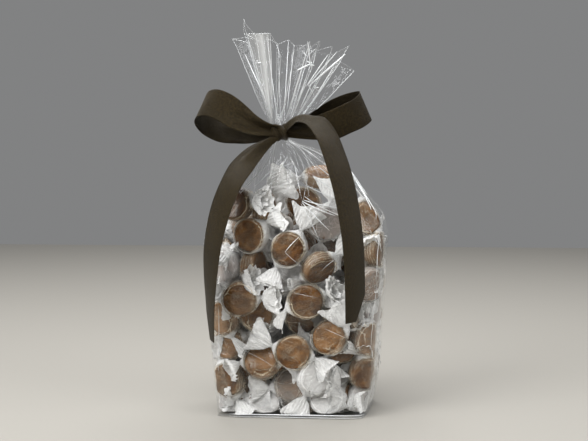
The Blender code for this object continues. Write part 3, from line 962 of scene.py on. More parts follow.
def scatter_tree():
    """Puts a copy of one piece at every point, turned and sized by the points' own values."""
    inputs = {"Piece": "NodeSocketObject", "Size": "NodeSocketFloat", "Finish": "NodeSocketMaterial"}
    tree, given = new_tree("scatter_paper_and_sweets", inputs)
    size = {0: own_value(tree, "size"), 1: given["Size"]}
    sockets = {
        "Points": given["Geometry"],
        "Instance": tree_node(tree, "GeometryNodeObjectInfo", {}, {"Object": given["Piece"]}, "Geometry"),
        "Rotation": own_value(tree, "turn", "QUATERNION"),
        "Scale": tree_node(tree, "ShaderNodeMath", {"operation": "MULTIPLY"}, size),
    }
    return finished_tree(tree, tree_node(tree, "GeometryNodeInstanceOnPoints", {}, sockets), given["Finish"])


def crease_tree():
    """Turns lines of points into thin folded ridges, as wide as their own values say."""
    tree, given = new_tree("film_creases", {"Width": "NodeSocketFloat", "Finish": "NodeSocketMaterial"})
    width = {0: own_value(tree, "width"), 1: given["Width"]}
    circle = {"Resolution": 4, "Radius": 1.0}
    sockets = {
        "Curve": tree_node(tree, "GeometryNodeMeshToCurve", {}, {"Mesh": given["Geometry"]}),
        "Profile Curve": tree_node(tree, "GeometryNodeCurvePrimitiveCircle", {}, circle, "Curve"),
        "Scale": tree_node(tree, "ShaderNodeMath", {"operation": "MULTIPLY"}, width),
        "Fill Caps": True,
    }
    return finished_tree(tree, tree_node(tree, "GeometryNodeCurveToMesh", {}, sockets), given["Finish"])


def made_by_tree(name, tree, carrier, inputs):
    """The plain mesh object that a tree makes of a carrier, which is then removed."""
    step = carrier.modifiers.new(tree.name, "NODES")
    step.node_group = tree
    sockets = {s.name: s.identifier for s in tree.interface.items_tree if s.in_out == "INPUT"}
    for key, value in inputs.items():
        step[sockets[key]] = value
    bpy.context.view_layer.update()
    seen = carrier.evaluated_get(bpy.context.evaluated_depsgraph_get())
    mesh = bpy.data.meshes.new_from_object(seen)
    mesh.name = name
    carrier.modifiers.clear()
    bpy.data.objects.remove(carrier)
    return add_object(name, mesh)


def scattered(name, tree, piece, places, turns, values, finish):
    """One mesh object with a copy of the piece at each place; values holds a number for each, by name."""
    quats = [tuple(Matrix(turn.tolist()).to_quaternion()) for turn in turns]
    extra = [(key, "FLOAT", column) for key, column in values.items()]
    carrier = make_mesh(name + "_points", places, [], [("turn", "QUATERNION", quats), *extra])
    item = made_by_tree(name, tree, carrier, {"Piece": piece, "Size": 1.0, "Finish": finish})
    item.data.shade_smooth()
    return item


def pressed_inside(points, gap):
    """Points beyond the film, folded back flat against its inside."""
    _, wide, deep, square = body_shape(points[:, 2])
    across, back = unsheared(points)
    reach = outline(across, back, wide, deep, square)
    radius = np.hypot(across, back)
    limit = radius / np.maximum(reach, 1e-6) - gap
    beyond = np.maximum(radius - limit, 0)
    pull = np.where(beyond > 0, (limit - 0.12 * beyond) / np.maximum(radius, 1e-6), 1.0)
    out = sheared(across * pull, back * pull, points[:, 2])
    base = gap + BASE_CLEAR
    low = out[:, 2] < base
    out[low, 2] = base - BASE_GIVE * np.tanh((base - out[low, 2]) / 8)
    return out


# Paper that meets a caramel is moved this far from its middle: off its face, or off its edge.
OFF_FACE, OFF_EDGE = DISC_HALF + 0.7, DISC_RADIUS + 0.8


def pushed_off(points, each, places, turns, held):
    """Paper inside a caramel is moved out of it, each end to one side; each is how many points an end has.

    Where a front sweet's face looks forwards, an end whose middle lies behind the sweet goes behind it."""
    group = np.arange(len(points)) // each
    middle = points.reshape(-1, each, 3).mean(axis=1)
    inward = VIEW @ np.array([0, 1, 0])
    for i, (place, turn) in enumerate(zip(places, turns)):
        near = np.nonzero(np.abs(points - place).max(axis=1) < DISC_RADIUS + 3)[0]
        if not len(near):
            continue
        local = (points[near] - place) @ turn
        flat = np.hypot(local[:, 0], local[:, 1])
        inside = (np.abs(local[:, 2]) < OFF_FACE) & (flat < OFF_EDGE)
        for k in np.unique(group[near[inside]]):
            lean = (middle[k] - place) @ turn
            mine = inside & (group[near] == k)
            side = 1.0 if lean[2] >= 0 else -1.0
            if i < held and abs(turn[:, 2] @ inward) > 0.6:
                back = (middle[k] - place) @ inward > -1.0
                side = 1.0 if (turn[:, 2] @ inward > 0) == back else -1.0
            rise = OFF_FACE - side * local[mine, 2]
            out = OFF_EDGE - flat[mine]
            by_face = rise < out * 2.2
            z = local[mine, 2] + np.where(by_face, side * rise, 0)
            grow = np.where(by_face, 1, (flat[mine] + out) / np.maximum(flat[mine], 1e-6))
            local[mine] = np.column_stack([local[mine, :2] * grow[:, None], z])
        points[near] = local @ turn.T + place
    return points


# ---------------------------------------------------------------- the film

BODY_ROWS, BODY_SIDES = 130, 360
FAN_ROWS = 44
FILM_OFF_PAPER = 0.35  # the film's gap to the paper that it is drawn over
FULL_HEIGHT = 212  # above this nothing inside holds the film out
# The two folds along the front of the base are drawn as lines of painted highlight.
BASE_EDGES = ((3.2, 0.42), (1.0, 0.3))  # height and width of the two folds along the front of the base
NECK_CREASES, BACK_CREASES = 70, 40
SMOOTHINGS = 70


def film_obstacle(cover, angles, heights):
    """How far out the paper reaches, for each direction round the bag and each height."""
    points = np.concatenate(cover)
    across, back = unsheared(points)
    radius = np.hypot(across, back) + FILM_OFF_PAPER
    turn = np.mod(np.arctan2(back, across), tau)
    column = np.round(turn / tau * len(angles)).astype(int) % len(angles)
    row = np.clip(np.searchsorted(heights, points[:, 2]), 0, len(heights) - 1)
    reach = np.zeros((len(heights), len(angles)))
    np.maximum.at(reach, (row, column), radius)
    for _ in range(2):
        reach = np.maximum.reduce([reach, np.roll(reach, 1, 1), np.roll(reach, -1, 1)])
        padded = np.pad(reach, ((1, 1), (0, 0)), "edge")
        reach = np.maximum.reduce([reach, padded[:-2], padded[2:]])
    return reach


def mean_of_neighbours(grid):
    """The mean of the four values round each, on a grid that is closed round its columns."""
    padded = np.pad(grid, ((1, 1), (0, 0)), "edge")
    return (np.roll(grid, 1, 1) + np.roll(grid, -1, 1) + padded[:-2] + padded[2:]) / 4


def body_film(cover):
    """Points of the film round the sweets: drawn taut over them, gathered towards the neck."""
    rng = np.random.default_rng(SEED + 5)
    angles = np.arange(BODY_SIDES) * tau / BODY_SIDES
    heights = np.concatenate([[0.3, 1.2], np.linspace(3, NECK_TOP, BODY_ROWS - 2)])
    _, wide, deep, square = (v[:, None] for v in body_shape(heights))
    c, s = np.cos(angles)[None], np.sin(angles)[None]
    outer = outline(c, s, wide, deep, square, -1)
    reach = film_obstacle(cover, angles, heights)
    reach = np.where(heights[:, None] < FULL_HEIGHT, np.minimum(reach, outer + 0.3), 0)
    across, back = outer * c, outer * s
    # The film keeps its outline near the neck and at the base, and is smoothed over the paper between them.
    hold = eased((heights - 205) / 25)[:, None] + eased((6 - heights) / 6)[:, None]
    for _ in range(SMOOTHINGS):
        across, back = (v + (1 - hold) * 0.5 * (mean_of_neighbours(v) - v) for v in (across, back))
        radius = np.hypot(across, back)
        out = np.maximum(radius, reach) / np.maximum(radius, 1e-6)
        across, back = across * out, back * out
    gather = gathered(heights)[:, None]
    corners, folds = folds_round(rng, 15, 0.45)
    fine_corners, fine_folds = folds_round(rng, 37, 0.45)
    pleat = zigzag(angles, corners, folds)[None] * 0.1 + zigzag(angles, fine_corners, fine_folds)[None] * 0.03
    pleat = pleat * gather**1.5
    across, back = across * (1 + pleat), back * (1 + pleat)
    return sheared(across, back, np.broadcast_to(heights[:, None], across.shape))


def with_base(points):
    """The body's points and faces, with the base closed by two rings and a middle point."""
    rows, sides, _ = points.shape
    ring = points[0]
    middle = ring.mean(axis=0)
    inner = [middle + (ring - middle) * share for share in (0.66, 0.33)]
    flat = np.concatenate([points.reshape(-1, 3), *inner, [middle]])
    faces = grid_faces(rows, sides, True).tolist()
    outer, inmost, last = rows * sides, (rows + 1) * sides, (rows + 2) * sides
    for j in range(sides):
        k = (j + 1) % sides
        faces += [[k, j, outer + j, outer + k], [outer + k, outer + j, inmost + j, inmost + k]]
        faces.append([inmost + k, inmost + j, last])
    return flat, faces


def base_edges(points):
    """The lines and widths of the folds along the front of the base."""
    lines = []
    for height, _ in BASE_EDGES:
        places = [surface_place(points, view_angle(x, height), height) for x in np.linspace(-58, 60, 50)]
        lines.append([place - np.array([0, 0.25, 0]) for place in places])
    return lines, [width for _, width in BASE_EDGES]


def surface_place(points, angle, height):
    """A place on the body's film at an angle round it and a height, between its grid's points."""
    heights = points[:, 0, 2]
    row = float(np.interp(height, heights, np.arange(len(heights))))
    column = (angle / tau * points.shape[1]) % points.shape[1]
    i, j = min(int(row), len(heights) - 2), int(column)
    t, u = row - i, column - j
    k = (j + 1) % points.shape[1]
    low = points[i, j] * (1 - u) + points[i, k] * u
    high = points[i + 1, j] * (1 - u) + points[i + 1, k] * u
    return low * (1 - t) + high * t


def view_angle(across, up):
    """The angle round the bag of the film's front at a place given across the view and up."""
    y = front_of_bag(across, up)
    x = across * cos(BOW_TURN) - y * sin(BOW_TURN)
    flat_x, flat_y = unsheared(np.array([[x, y, up]]))
    return float(np.arctan2(flat_y[0], flat_x[0])) % tau


def crease_lines(name, lines, widths, finish):
    """Thin folded ridges along lines of millimetre points; a line's width swells and thins along it. The
    ridges are painted as bright highlights, the more so the wider they are.
    """
    points, edges, radii, shine = [], [], [], []
    for line, width in zip(lines, widths):
        start = len(points)
        t = np.linspace(0, 1, len(line))
        points.extend(line)
        edges.extend((start + k, start + k + 1) for k in range(len(line) - 1))
        radii.extend(width * MM * (0.25 + 0.75 * np.sin(pi * np.clip(t * 1.04 - 0.02, 0, 1)) ** 0.6))
        # Painted highlight: how white the film is drawn along each ridge.
        shine.extend(np.full(len(line), min(1.0, 0.5 + 1.4 * width)))
    extra = [("width", "FLOAT", radii), ("crease", "FLOAT", shine)]
    carrier = make_mesh(name + "_lines", points, [], extra, edges=edges)
    return made_by_tree(name, crease_tree(), carrier, {"Width": 1.0, "Finish": finish})


# Creases across the front of the film: from a place across the view and up, to another, and their width.
FRONT_CREASES = (
    (3, 184, 31, 172, 0.65),
    (4, 185, 34, 178, 0.49),
    (3, 183, 26, 160, 0.57),
    (5, 188, 40, 170, 0.42),
    (8, 196, 38, 184, 0.32),
    (12, 205, 33, 190, 0.38),
    (14, 214, 44, 192, 0.38),
    (2, 182, 18, 150, 0.32),
    (52, 208, 66, 176, 0.54),
    (48, 212, 62, 188, 0.42),
    (55, 200, 71, 168, 0.35),
    (-28, 214, -48, 190, 0.35),
    (-22, 210, -36, 196, 0.22),
    (-9, 222, -14, 212, 0.25),
    (-14, 212, -3, 216, 0.22),
    (-64, 188, -70, 160, 0.25),
    (-68, 150, -69, 100, 0.25),
    (-66, 96, -67, 40, 0.28),
    (70, 160, 71, 118, 0.33),
    (69, 112, 67, 60, 0.28),
    (20, 128, 38, 142, 0.18),
    (-11, 142, 1, 155, 0.3),
    (-11, 142, -1, 133, 0.2),
    (-4, 108, 16, 104, 0.15),
    (-44, 58, -22, 46, 0.15),
    (22, 78, 40, 70, 0.2),
    (12, 40, 28, 32, 0.18),
)


def body_creases(points):
    """Lines and widths of the body's creases: the stated ones, then down from the neck, then behind."""
    rng = np.random.default_rng(SEED + 6)
    ends = []
    for x0, z0, x1, z1, width in FRONT_CREASES:
        ends.append((view_angle(x0, z0), z0, view_angle(x1, z1), z1, width))
    for _ in range(NECK_CREASES):
        angle, high = rng.uniform(0, tau), rng.uniform(204, 238)
        down = rng.uniform(14, 46) * (1 if rng.random() < 0.7 else 0.5)
        ends.append((angle, high, angle + rng.normal(0, 0.16), high - down, rng.uniform(0.08, 0.24)))
    for _ in range(BACK_CREASES):
        angle, high = rng.uniform(-0.3, pi + 0.3), rng.uniform(20, 200)
        stop = angle + rng.normal(0, 0.2), high - rng.uniform(-15, 25)
        ends.append((angle, high, *stop, rng.uniform(0.08, 0.2)))
    lines, widths = [], []
    for a0, z0, a1, z1, width in ends:
        turn = (a1 - a0 + pi) % tau - pi
        bow = rng.normal(0, 0.012)
        line = []
        for t in np.linspace(0, 1, 14):
            angle = a0 + turn * t + bow * sin(pi * t)
            place = surface_place(points, angle % tau, max(1.0, z0 + (z1 - z0) * t))
            spoke = np.array([cos(angle), sin(angle), 0])
            line.append(place + spoke * 0.15)
        lines.append(line)
        widths.append(width)
    return lines, widths


# The folds of the fan, round the neck: angle in degrees, reach, height, and how strongly painted reflection
# whitens the film after it.
FAN_FOLDS = (
    (12, 48, 300, 0.0),
    (22, 60, 308, 0.05),
    (36, 36, 312, 0.0),
    (50, 42, 319, 0.05),
    (63, 26, 318, 0.0),
    (78, 34, 324, 0.1),
    (95, 22, 319, 0.0),
    (110, 35, 326, 0.05),
    (124, 26, 320, 0.0),
    (140, 42, 329, 0.1),
    (156, 31, 324, 0.0),
    (172, 41, 322, 0.1),
    (184, 27, 318, 0.0),
    (206, 34, 336, 0.1),
    (216, 24, 322, 0.05),
    (222, 36, 323, 0.85),
    (254, 28, 323, 0.1),
    (262, 17, 315, 0.0),
    (272, 27, 303, 0.0),
    (284, 18, 298, 0.05),
    (292, 28, 297, 0.0),
    (302, 20, 308, 0.1),
    (311, 38, 316, 0.1),
    (318, 30, 306, 0.25),
    (322, 42, 317, 0.0),
    (330, 36, 309, 0.2),
    (334, 50, 313, 0.1),
    (341, 46, 306, 0.25),
    (345, 61, 314, 0.1),
    (352, 50, 302, 0.0),
    (358, 64, 294, 0.05),
)
FACET_STEPS = 9


def fan_film():
    """Rows of points of the loose film above the tie, in sharp uneven folds, and how much painted reflection
    whitens each column.
    """
    rng = np.random.default_rng(SEED + 7)
    folds = np.array(FAN_FOLDS, dtype=float)
    count = len(folds)
    closed = np.vstack([folds, folds[:1] + [360, 0, 0, 0]])
    share = np.tile(np.arange(FACET_STEPS) / FACET_STEPS, count)
    fold = np.repeat(np.arange(count), FACET_STEPS)
    at = fold + share
    rim = [np.interp(at, np.arange(count + 1), closed[:, k]) for k in range(3)]
    # A facet's rim is a straight chord between its two folds, not an arc.
    turn = np.radians(closed[:, 0])
    chord = closed[:, 1, None] * np.stack([np.cos(turn), np.sin(turn)], 1)
    far = chord[fold] * (1 - share[:, None]) + chord[fold + 1] * share[:, None]
    even = np.linspace(folds[0, 0], folds[0, 0] + 360, count + 1)
    inner_turn = np.radians(np.interp(at, np.arange(count + 1), even))
    mouth = NECK_RADIUS * np.where(fold % 2 == 0, 1 - 0.16 * share, 0.84 + 0.16 * share)
    near = np.stack([np.cos(inner_turn), np.sin(inner_turn)], 1) * mouth[:, None]
    hollow = np.sin(share * pi) * rng.uniform(-1.8, 1.8, count)[fold]
    bend = np.interp(at, np.arange(count + 1), np.append(rng.uniform(-1.6, 1.6, count), 0))
    ripple = rng.uniform(-1, 1, (FAN_ROWS, len(at)))
    for _ in range(5):
        ripple = (ripple + np.roll(ripple, 1, 1) + np.roll(ripple, -1, 1)) / 3
        ripple[1:-1] = (ripple[1:-1] + ripple[2:] + ripple[:-2]) / 3
    spoke = far / np.linalg.norm(far, axis=1, keepdims=True)
    rows = []
    for k in range(FAN_ROWS):
        t = k / (FAN_ROWS - 1)
        flat = near + (far - near) * t**0.86
        flat = flat + spoke * ((hollow + bend * sin(pi * t)) * t + ripple[k] * 2.6 * t**0.7)[:, None]
        up = FAN_ROOT + (rim[2] - FAN_ROOT) * t
        rows.append(np.column_stack([NECK + flat @ VIEW[:2, :2].T, up]))
    return np.array(rows), folds[fold, 3], share == 0


# Straight creases on the front of the fan: from and to, each across and up, and the width.
FAN_CREASES = (
    (7, 280, 25, 306, 0.5),
    (9, 282, 33, 309, 0.4),
    (9, 280, 40, 307, 0.9),
    (2, 262, 14, 288, 0.4),
    (0, 268, 6, 284, 0.35),
    (10, 298, 8, 316, 0.6),
    (10, 298, -1, 293, 0.7),
    (8, 304, 3, 309, 0.3),
    (9, 306, 15, 311, 0.3),
    (8, 282, 14, 272, 0.5),
    (-46, 309, -30, 274, 0.4),
)
# Crumpled spots on the front of the fan: a place across and up, how far the creases reach, and how many.
FAN_STARS = (((10.5, 298), 4, 5), ((-34, 300), 3, 5), ((15, 279), 3, 4))


def star_creases(seen, place, reach, count, rng):
    """Short creases out from one crumpled spot of the fan, close to its film."""
    lines, widths = [], []
    middle = np.array([place[0], front_of_fan(seen, *place), place[1]])
    for k in range(count):
        way = tau * (k + rng.uniform(-0.3, 0.3)) / count
        far = reach * rng.uniform(0.5, 1.0)
        tip = middle + np.array([cos(way), 0, sin(way)]) * far
        tip[1] = np.clip(front_of_fan(seen, tip[0], tip[2]), middle[1] - 0.5 * far, middle[1] + 0.5 * far)
        line = []
        for t in np.linspace(0, 1, 7):
            wander = rng.normal(0, 0.25, 3) * (0 < t < 1)
            line.append(VIEW @ (middle + (tip - middle) * t + wander))
        lines.append(line)
        widths.append(rng.uniform(0.3, 0.55))
    return lines, widths


def edge_creases(points, white, corner, rng):
    """Creases up the fan's folds, some on its facets and more on those whitened by painted reflection, and
    one along its mouth.
    """
    steps, around, _ = points.shape
    lines, widths = [], []
    for j in range(around):
        if corner[j] or rng.random() < 0.08 + 0.3 * white[j]:
            start = int(rng.uniform(0, 0.3) * steps)
            stop = steps if corner[j] else steps - int(rng.uniform(0, 0.5) * steps)
            lines.append(points[start:stop, j])
            widths.append(rng.uniform(0.1, 0.36) if corner[j] else rng.uniform(0.05, 0.14))
    lines.append(np.concatenate([points[-1], points[-1, :1]]))
    return lines, [*widths, 0.14]


def front_of_fan(seen, across, up):
    """The depth of the fan's film nearest the front, at a place across and up."""
    gap = np.hypot(seen[:, 0] - across, seen[:, 2] - up)
    return seen[gap < gap.min() + 1.5, 1].min() - 0.2


def fan_creases(seen):
    """The straight bright creases on the front of the fan."""
    lines, widths = [], []
    for x0, z0, x1, z1, width in FAN_CREASES:
        first, last = (np.array([x, front_of_fan(seen, x, z), z]) for x, z in ((x0, z0), (x1, z1)))
        lines.append([VIEW @ (first + (last - first) * t) for t in np.linspace(0, 1, 8)])
        widths.append(width)
    return lines, widths


# ---------------------------------------------------------------- the ribbon

RIBBON_HALF = 0.2  # half its thickness
RIBBON_COLUMNS, RIBBON_STEP = 21, 1.6  # points across it, and how far apart they are along it
KNOT_CENTRE = (-14, -16, 241)
KNOT_SIZE = (8.6, 7.0, 7.4)
KNOT_ROUND = 7.3  # the mean radius that its ribbon is wound at
COLLAR = (6.9, 1.6, 6.6)  # inner radius, thickness and height of the ribbon round the neck
# Stations along each run of ribbon: a place (across, back, up), the direction across the ribbon, the share of
# its width left where it gathers, and how many degrees each half of it curls.
LEFT_LOOP = (
    ((-13, -20, 241.5), (0.05, 0.1, 1.0), 0.38, 55),
    ((-24, -22, 243), (0.05, 0.2, 1.0), 0.5, 50),
    ((-36, -24, 246.5), (0.05, 0.25, 1.0), 0.74, 40),
    ((-49, -25, 254), (0.16, 0.2, 1.0), 0.95, 26),
    ((-60, -23, 261.5), (0.26, 0.28, 0.93), 1.0, 12),
    ((-71, -17, 266), (0.25, 0.35, 0.9), 1.0, 4),
    ((-80, -8, 265), (0.36, 0.38, 0.85), 1.0, 0),
    ((-83, 1, 260), (0.34, 0.42, 0.85), 1.0, 0),
    ((-78, 10, 251), (0.28, 0.48, 0.83), 1.0, 4),
    ((-65, 13, 244), (0.18, 0.5, 0.84), 1.0, 10),
    ((-49, 9, 241.5), (0.08, 0.48, 0.86), 0.9, 20),
    ((-34, -2, 240), (0.0, 0.35, 0.93), 0.68, 34),
    ((-23, -9, 240), (0.0, 0.2, 1.0), 0.48, 46),
    ((-13, -13, 240), (0.05, 0.1, 1.0), 0.38, 50),
)
RIGHT_LOOP = (
    ((-15, -20, 242), (-0.1, 0.0, 1.0), 0.38, 55),
    ((-3, -21, 242), (-0.15, 0.0, 1.0), 0.52, 50),
    ((13, -25, 243.5), (-0.22, -0.2, 0.95), 0.8, 36),
    ((28, -28, 246), (-0.28, -0.28, 0.92), 1.0, 16),
    ((42, -27, 252), (-0.33, -0.28, 0.9), 1.0, 4),
    ((53, -21, 257.5), (-0.37, -0.2, 0.9), 1.0, 0),
    ((59, -11, 263), (-0.4, -0.08, 0.91), 1.0, 0),
    ((58, -2, 264.5), (-0.4, 0.02, 0.91), 1.0, 0),
    ((50, 4, 263.5), (-0.38, -0.05, 0.92), 1.0, 0),
    ((36, 6, 258.5), (-0.34, -0.12, 0.93), 1.0, 6),
    ((21, 3, 252), (-0.28, -0.15, 0.95), 0.86, 20),
    ((7, -4, 246.5), (-0.2, -0.1, 0.97), 0.62, 36),
    ((-4, -9, 243), (-0.1, 0.0, 1.0), 0.46, 46),
    ((-15, -13, 241), (-0.1, 0.0, 1.0), 0.38, 50),
)
RIGHT_TAIL = (
    ((-13, -17, 240), (0.2, 0.2, 0.95), 0.38, 55),
    ((-5, -24, 248), (0.4, 0.6, 0.6), 0.55, 50),
    ((5, -34, 253), (0.58, 0.75, 0.26), 0.85, 34),
    ((16, -47, 250.5), (0.66, 0.72, 0.2), 1.0, 20),
    ((24, -55, 240), (0.68, 0.71, 0.16), 1.0, 14),
    ((31.5, -59, 221), (0.72, 0.67, 0.1), 1.0, 10),
    ((38.5, -60, 197), (0.74, 0.66, 0.04), 1.0, 8),
    ((43.5, -60, 172), (0.72, 0.68, 0.03), 1.0, 8),
    ((46.5, -60, 148), (0.7, 0.7, 0.0), 1.0, 8),
    ((48, -59, 120), (0.68, 0.72, 0.0), 1.0, 8),
    ((48.5, -58, 86), (0.66, 0.74, 0.0), 1.0, 8),
)
LEFT_TAIL = (
    ((-14, -17, 239.5), (0.35, -0.8, 0.1), 0.38, 50),
    ((-25, -23, 233), (0.42, -0.66, -0.36), 0.5, 46),
    ((-35, -31, 225.5), (0.5, -0.68, -0.5), 0.8, 36),
    ((-45, -39, 214), (0.6, -0.68, -0.4), 1.0, 22),
    ((-54, -46, 199), (0.66, -0.7, -0.25), 1.0, 14),
    ((-61, -50, 182), (0.68, -0.7, -0.15), 1.0, 10),
    ((-66, -52, 164), (0.66, -0.74, -0.05), 1.0, 8),
    ((-69.5, -53, 145), (0.6, -0.8, 0.0), 1.0, 8),
    ((-71, -53, 125), (0.5, -0.86, 0.0), 1.0, 8),
    ((-71.5, -52, 101), (0.36, -0.93, 0.0), 1.0, 8),
    ((-71, -50, 70), (0.26, -0.96, 0.0), 1.0, 8),
)
TAIL_CUTS = {"left_tail": -21.0, "right_tail": 21.0}


def bow_place(points):
    """Places given in the bow's own directions, moved to where they are on the bag."""
    points = np.asarray(points, dtype=float)
    return (points + np.array([BOW_SHIFT, 0, 0])) @ VIEW.T


def ribbon_run(stations, width, cut=0.0, painted_shade_side=(0, 1)):
    """Points, faces and grain of a run of ribbon, folded lengthwise where it gathers, and its length.

    cut is how much shorter one edge is than the other; the last argument tells which of its two sides gets
    painted shade, on a loop its inside."""
    rows = []
    for place, across, left, curl in stations:
        direction = VIEW @ np.array(across, dtype=float)
        rows.append([0.0, *bow_place(place), *(direction / np.linalg.norm(direction)), left, radians(curl)])
    rows = np.array(rows)
    rows[1:, 0] = np.cumsum(np.linalg.norm(np.diff(rows[:, 1:4], axis=0), axis=1))
    total = rows[-1, 0]
    fine = smooth_rows(rows, 600)
    steps, columns = int(total / RIBBON_STEP), RIBBON_COLUMNS
    across = np.linspace(-1, 1, columns)
    short = np.maximum(0.0, across * cut)
    at = (total - short)[None] * np.linspace(0, 1, steps + 1)[:, None]
    value = np.stack([np.interp(at, fine[:, 0], fine[:, k]) for k in range(1, 9)], -1)
    ahead, behind = (
        np.stack([np.interp(at + off, fine[:, 0], fine[:, k]) for k in (1, 2, 3)], -1) for off in (0.6, -0.6)
    )
    travel = ahead - behind
    travel /= np.linalg.norm(travel, axis=2, keepdims=True)
    wide = value[..., 3:6]
    wide = wide - travel * (wide * travel).sum(2, keepdims=True)
    wide /= np.linalg.norm(wide, axis=2, keepdims=True)
    normal = np.cross(travel, wide)
    left, curl = value[..., 6], np.maximum(value[..., 7], 0.02)
    half = width / 2 * left
    radius = half / curl
    turn = curl * across[None]
    arch = radius * (np.cos(turn) - 0.5 - 0.5 * np.cos(curl))
    spare = np.sqrt(np.maximum(1 / left**2 - 1, 0))
    fold = np.minimum(half * 0.16 * spare, 1.4) * np.sin(across[None] * pi * 1.5 + 0.6 + at * 0.04)
    middle = value[..., :3] + wide * (radius * np.sin(turn))[..., None] + normal * (arch + fold)[..., None]
    along = np.gradient(middle, axis=0)
    side = np.gradient(middle, axis=1)
    out = np.cross(along, side)
    out /= np.linalg.norm(out, axis=2, keepdims=True)
    both = np.concatenate([middle + out * RIBBON_HALF, (middle - out * RIBBON_HALF)[:, ::-1]], axis=1)
    across_it = np.broadcast_to(across[None] * width / 2 * MM, at.shape)
    grain = np.stack([across_it, at * MM, np.zeros(at.shape)], -1)
    grain = np.concatenate([grain, grain[:, ::-1]], axis=1)
    # Painted shade: marks the side that the finish darkens.
    grain[..., 2] = np.repeat(painted_shade_side, columns)
    faces = grid_faces(steps + 1, 2 * columns, True)
    ends = []
    for row in (0, steps):
        base = row * 2 * columns
        for j in range(columns - 1):
            quad = [base + j, base + j + 1, base + 2 * columns - 2 - j, base + 2 * columns - 1 - j]
            ends.append(quad if row else quad[::-1])
    return both.reshape(-1, 3), np.concatenate([faces, ends])[:, ::-1], grain.reshape(-1, 3), total


def knot_shape():
    """The knot: a band of ribbon drawn tightly over the gathers, its folds running round it."""
    rows, sides = 40, 56
    v = np.linspace(-1, 1, rows)[:, None]
    turn = (np.arange(sides) * tau / sides)[None]
    skew = v + 0.8 * np.sin(turn + 0.5)
    waist = (1 - np.abs(v) ** 5) ** 0.4 * 0.93 + 0.02
    folds = 1 + 0.11 * np.sin(skew * 6.5 + 0.7) + 0.05 * np.sin(skew * 12 + turn)
    swell = 1 + 0.07 * np.cos(turn * 2 + 0.4)
    radius = waist * folds * swell
    x = KNOT_SIZE[0] * (v + 0.08 * np.sin(turn)) + 0 * turn
    y, z = KNOT_SIZE[1] * radius * np.cos(turn), KNOT_SIZE[2] * radius * np.sin(turn)
    points = np.stack([x, y, z], -1) + np.array(KNOT_CENTRE)
    grain = np.stack([0 * turn + v * 12.7 * MM, turn * 7.5 * MM + 0 * v, 0 * v + 0 * turn], -1)
    faces = grid_faces(rows, sides, True).tolist()
    faces += ring_cap(0, sides, True) + ring_cap((rows - 1) * sides, sides)
    return bow_place(points.reshape(-1, 3)), faces, grain.reshape(-1, 3), tau * KNOT_ROUND


def collar_shape():
    """The ribbon round the neck: a closed band with a few folds round it."""
    inner, thick, high = COLLAR
    sides, around = 72, 24
    turn = (np.arange(sides) * tau / sides)[:, None]
    round_it = (np.arange(around) * tau / around)[None]
    c, s = np.cos(round_it), np.sin(round_it)
    z = high / 2 * np.sign(s) * np.abs(s) ** 0.5
    out = thick / 2 * np.sign(c) * np.abs(c) ** 0.6
    radius = inner + thick / 2 + out + 0.3 * np.sin(z * 2.2 + np.sin(turn) * 1.2) * (c > 0)
    x, y = NECK[0] + radius * np.cos(turn), NECK[1] + radius * np.sin(turn)
    points = np.stack([x, y, NECK_HEIGHT + z + 0 * turn], -1).reshape(-1, 3)
    grain = np.stack([z * MM + 0 * turn, turn * inner * MM + 0 * z, 0 * z + 0 * turn], -1).reshape(-1, 3)
    faces = grid_faces(sides + 1, around, True) % (sides * around)
    return points, faces[:, ::-1], grain, tau * (inner + thick)


# ---------------------------------------------------------------- settings


def colour_property(name, description, default):
    """A colour that the user may change."""
    return FloatVectorProperty(
        name=name, description=description, default=default, size=3, min=0, max=1, subtype="COLOR"
    )


class CaramelsSweetSettings(bpy.types.PropertyGroup):
    caramel: colour_property("Caramel", "Lighter colour of the caramel", (0.14, 0.056, 0.0085))
    caramel_dark: colour_property("Dark caramel", "Darker colour of the caramel", (0.035, 0.0115, 0.002))
    paper: colour_property("Paper", "Colour of the waxed paper", (0.93, 0.93, 0.915))
    loose: IntProperty(name="Loose sweets", description="Sweets in the middle of the bag", default=26, min=0)
    collars: IntProperty(
        name="White collars",
        description="Front sweets, counted from the first, with a white collar",
        default=2,
        min=0,
    )


class CaramelsFilmSettings(bpy.types.PropertyGroup):
    colour: colour_property("Glint", "Colour of the light that the film throws back", (0.93, 0.95, 0.96))


class CaramelsRibbonSettings(bpy.types.PropertyGroup):
    colour: colour_property("Ribbon", "Darker colour of the ribbon", (0.002, 0.0012, 0.0002))
    light: colour_property("Ribbon sheen", "Lighter colour of the ribbon", (0.027, 0.018, 0.0056))
    width: FloatProperty(name="Width", description="Width of the ribbon", default=0.0254, unit="LENGTH")


class CaramelsStageSettings(bpy.types.PropertyGroup):
    floor: colour_property("Floor", "Colour of the counter", (0.33, 0.315, 0.285))
    light: FloatProperty(name="Light", description="Brightness of the whole studio", default=1.0, min=0)


# ---------------------------------------------------------------- operators

PACKING = {}  # what one operator makes and a later one needs
FLOOR_HALF = (2400, 1500)  # millimetres
# The studio's soft lights: place, size in metres, and power.
SOFTBOXES = (
    ("top_softbox", (-0.2, -0.45, 1.5), (1.2, 1.0), 24.0),
    ("key_softbox", (-1.1, -0.95, 0.95), (0.9, 0.9), 24.0),
    ("fill_softbox", (1.25, -0.6, 0.7), (0.7, 0.9), 9.0),
    ("back_softbox", (0.1, 0.6, 1.35), (1.3, 0.5), 13.0),
)
LIGHT_AIM = (0, 0, 0.16)
STUDIO_GREY = (0.22, 0.222, 0.224, 1)
FILM_LAYERS = 48  # clear surfaces that a ray may pass, one behind the other
CAMERA_PLACE, CAMERA_AIM = (0.0591, -0.8959, 0.2278), (-0.00349, -0.00024, 0.165)
LENS = 63.4


def aimed(item, place, target):
    """Puts a light or a camera at a place and turns it to a target."""
    item.location = place
    item.rotation_euler = (Vector(target) - Vector(place)).to_track_quat("-Z", "Y").to_euler()


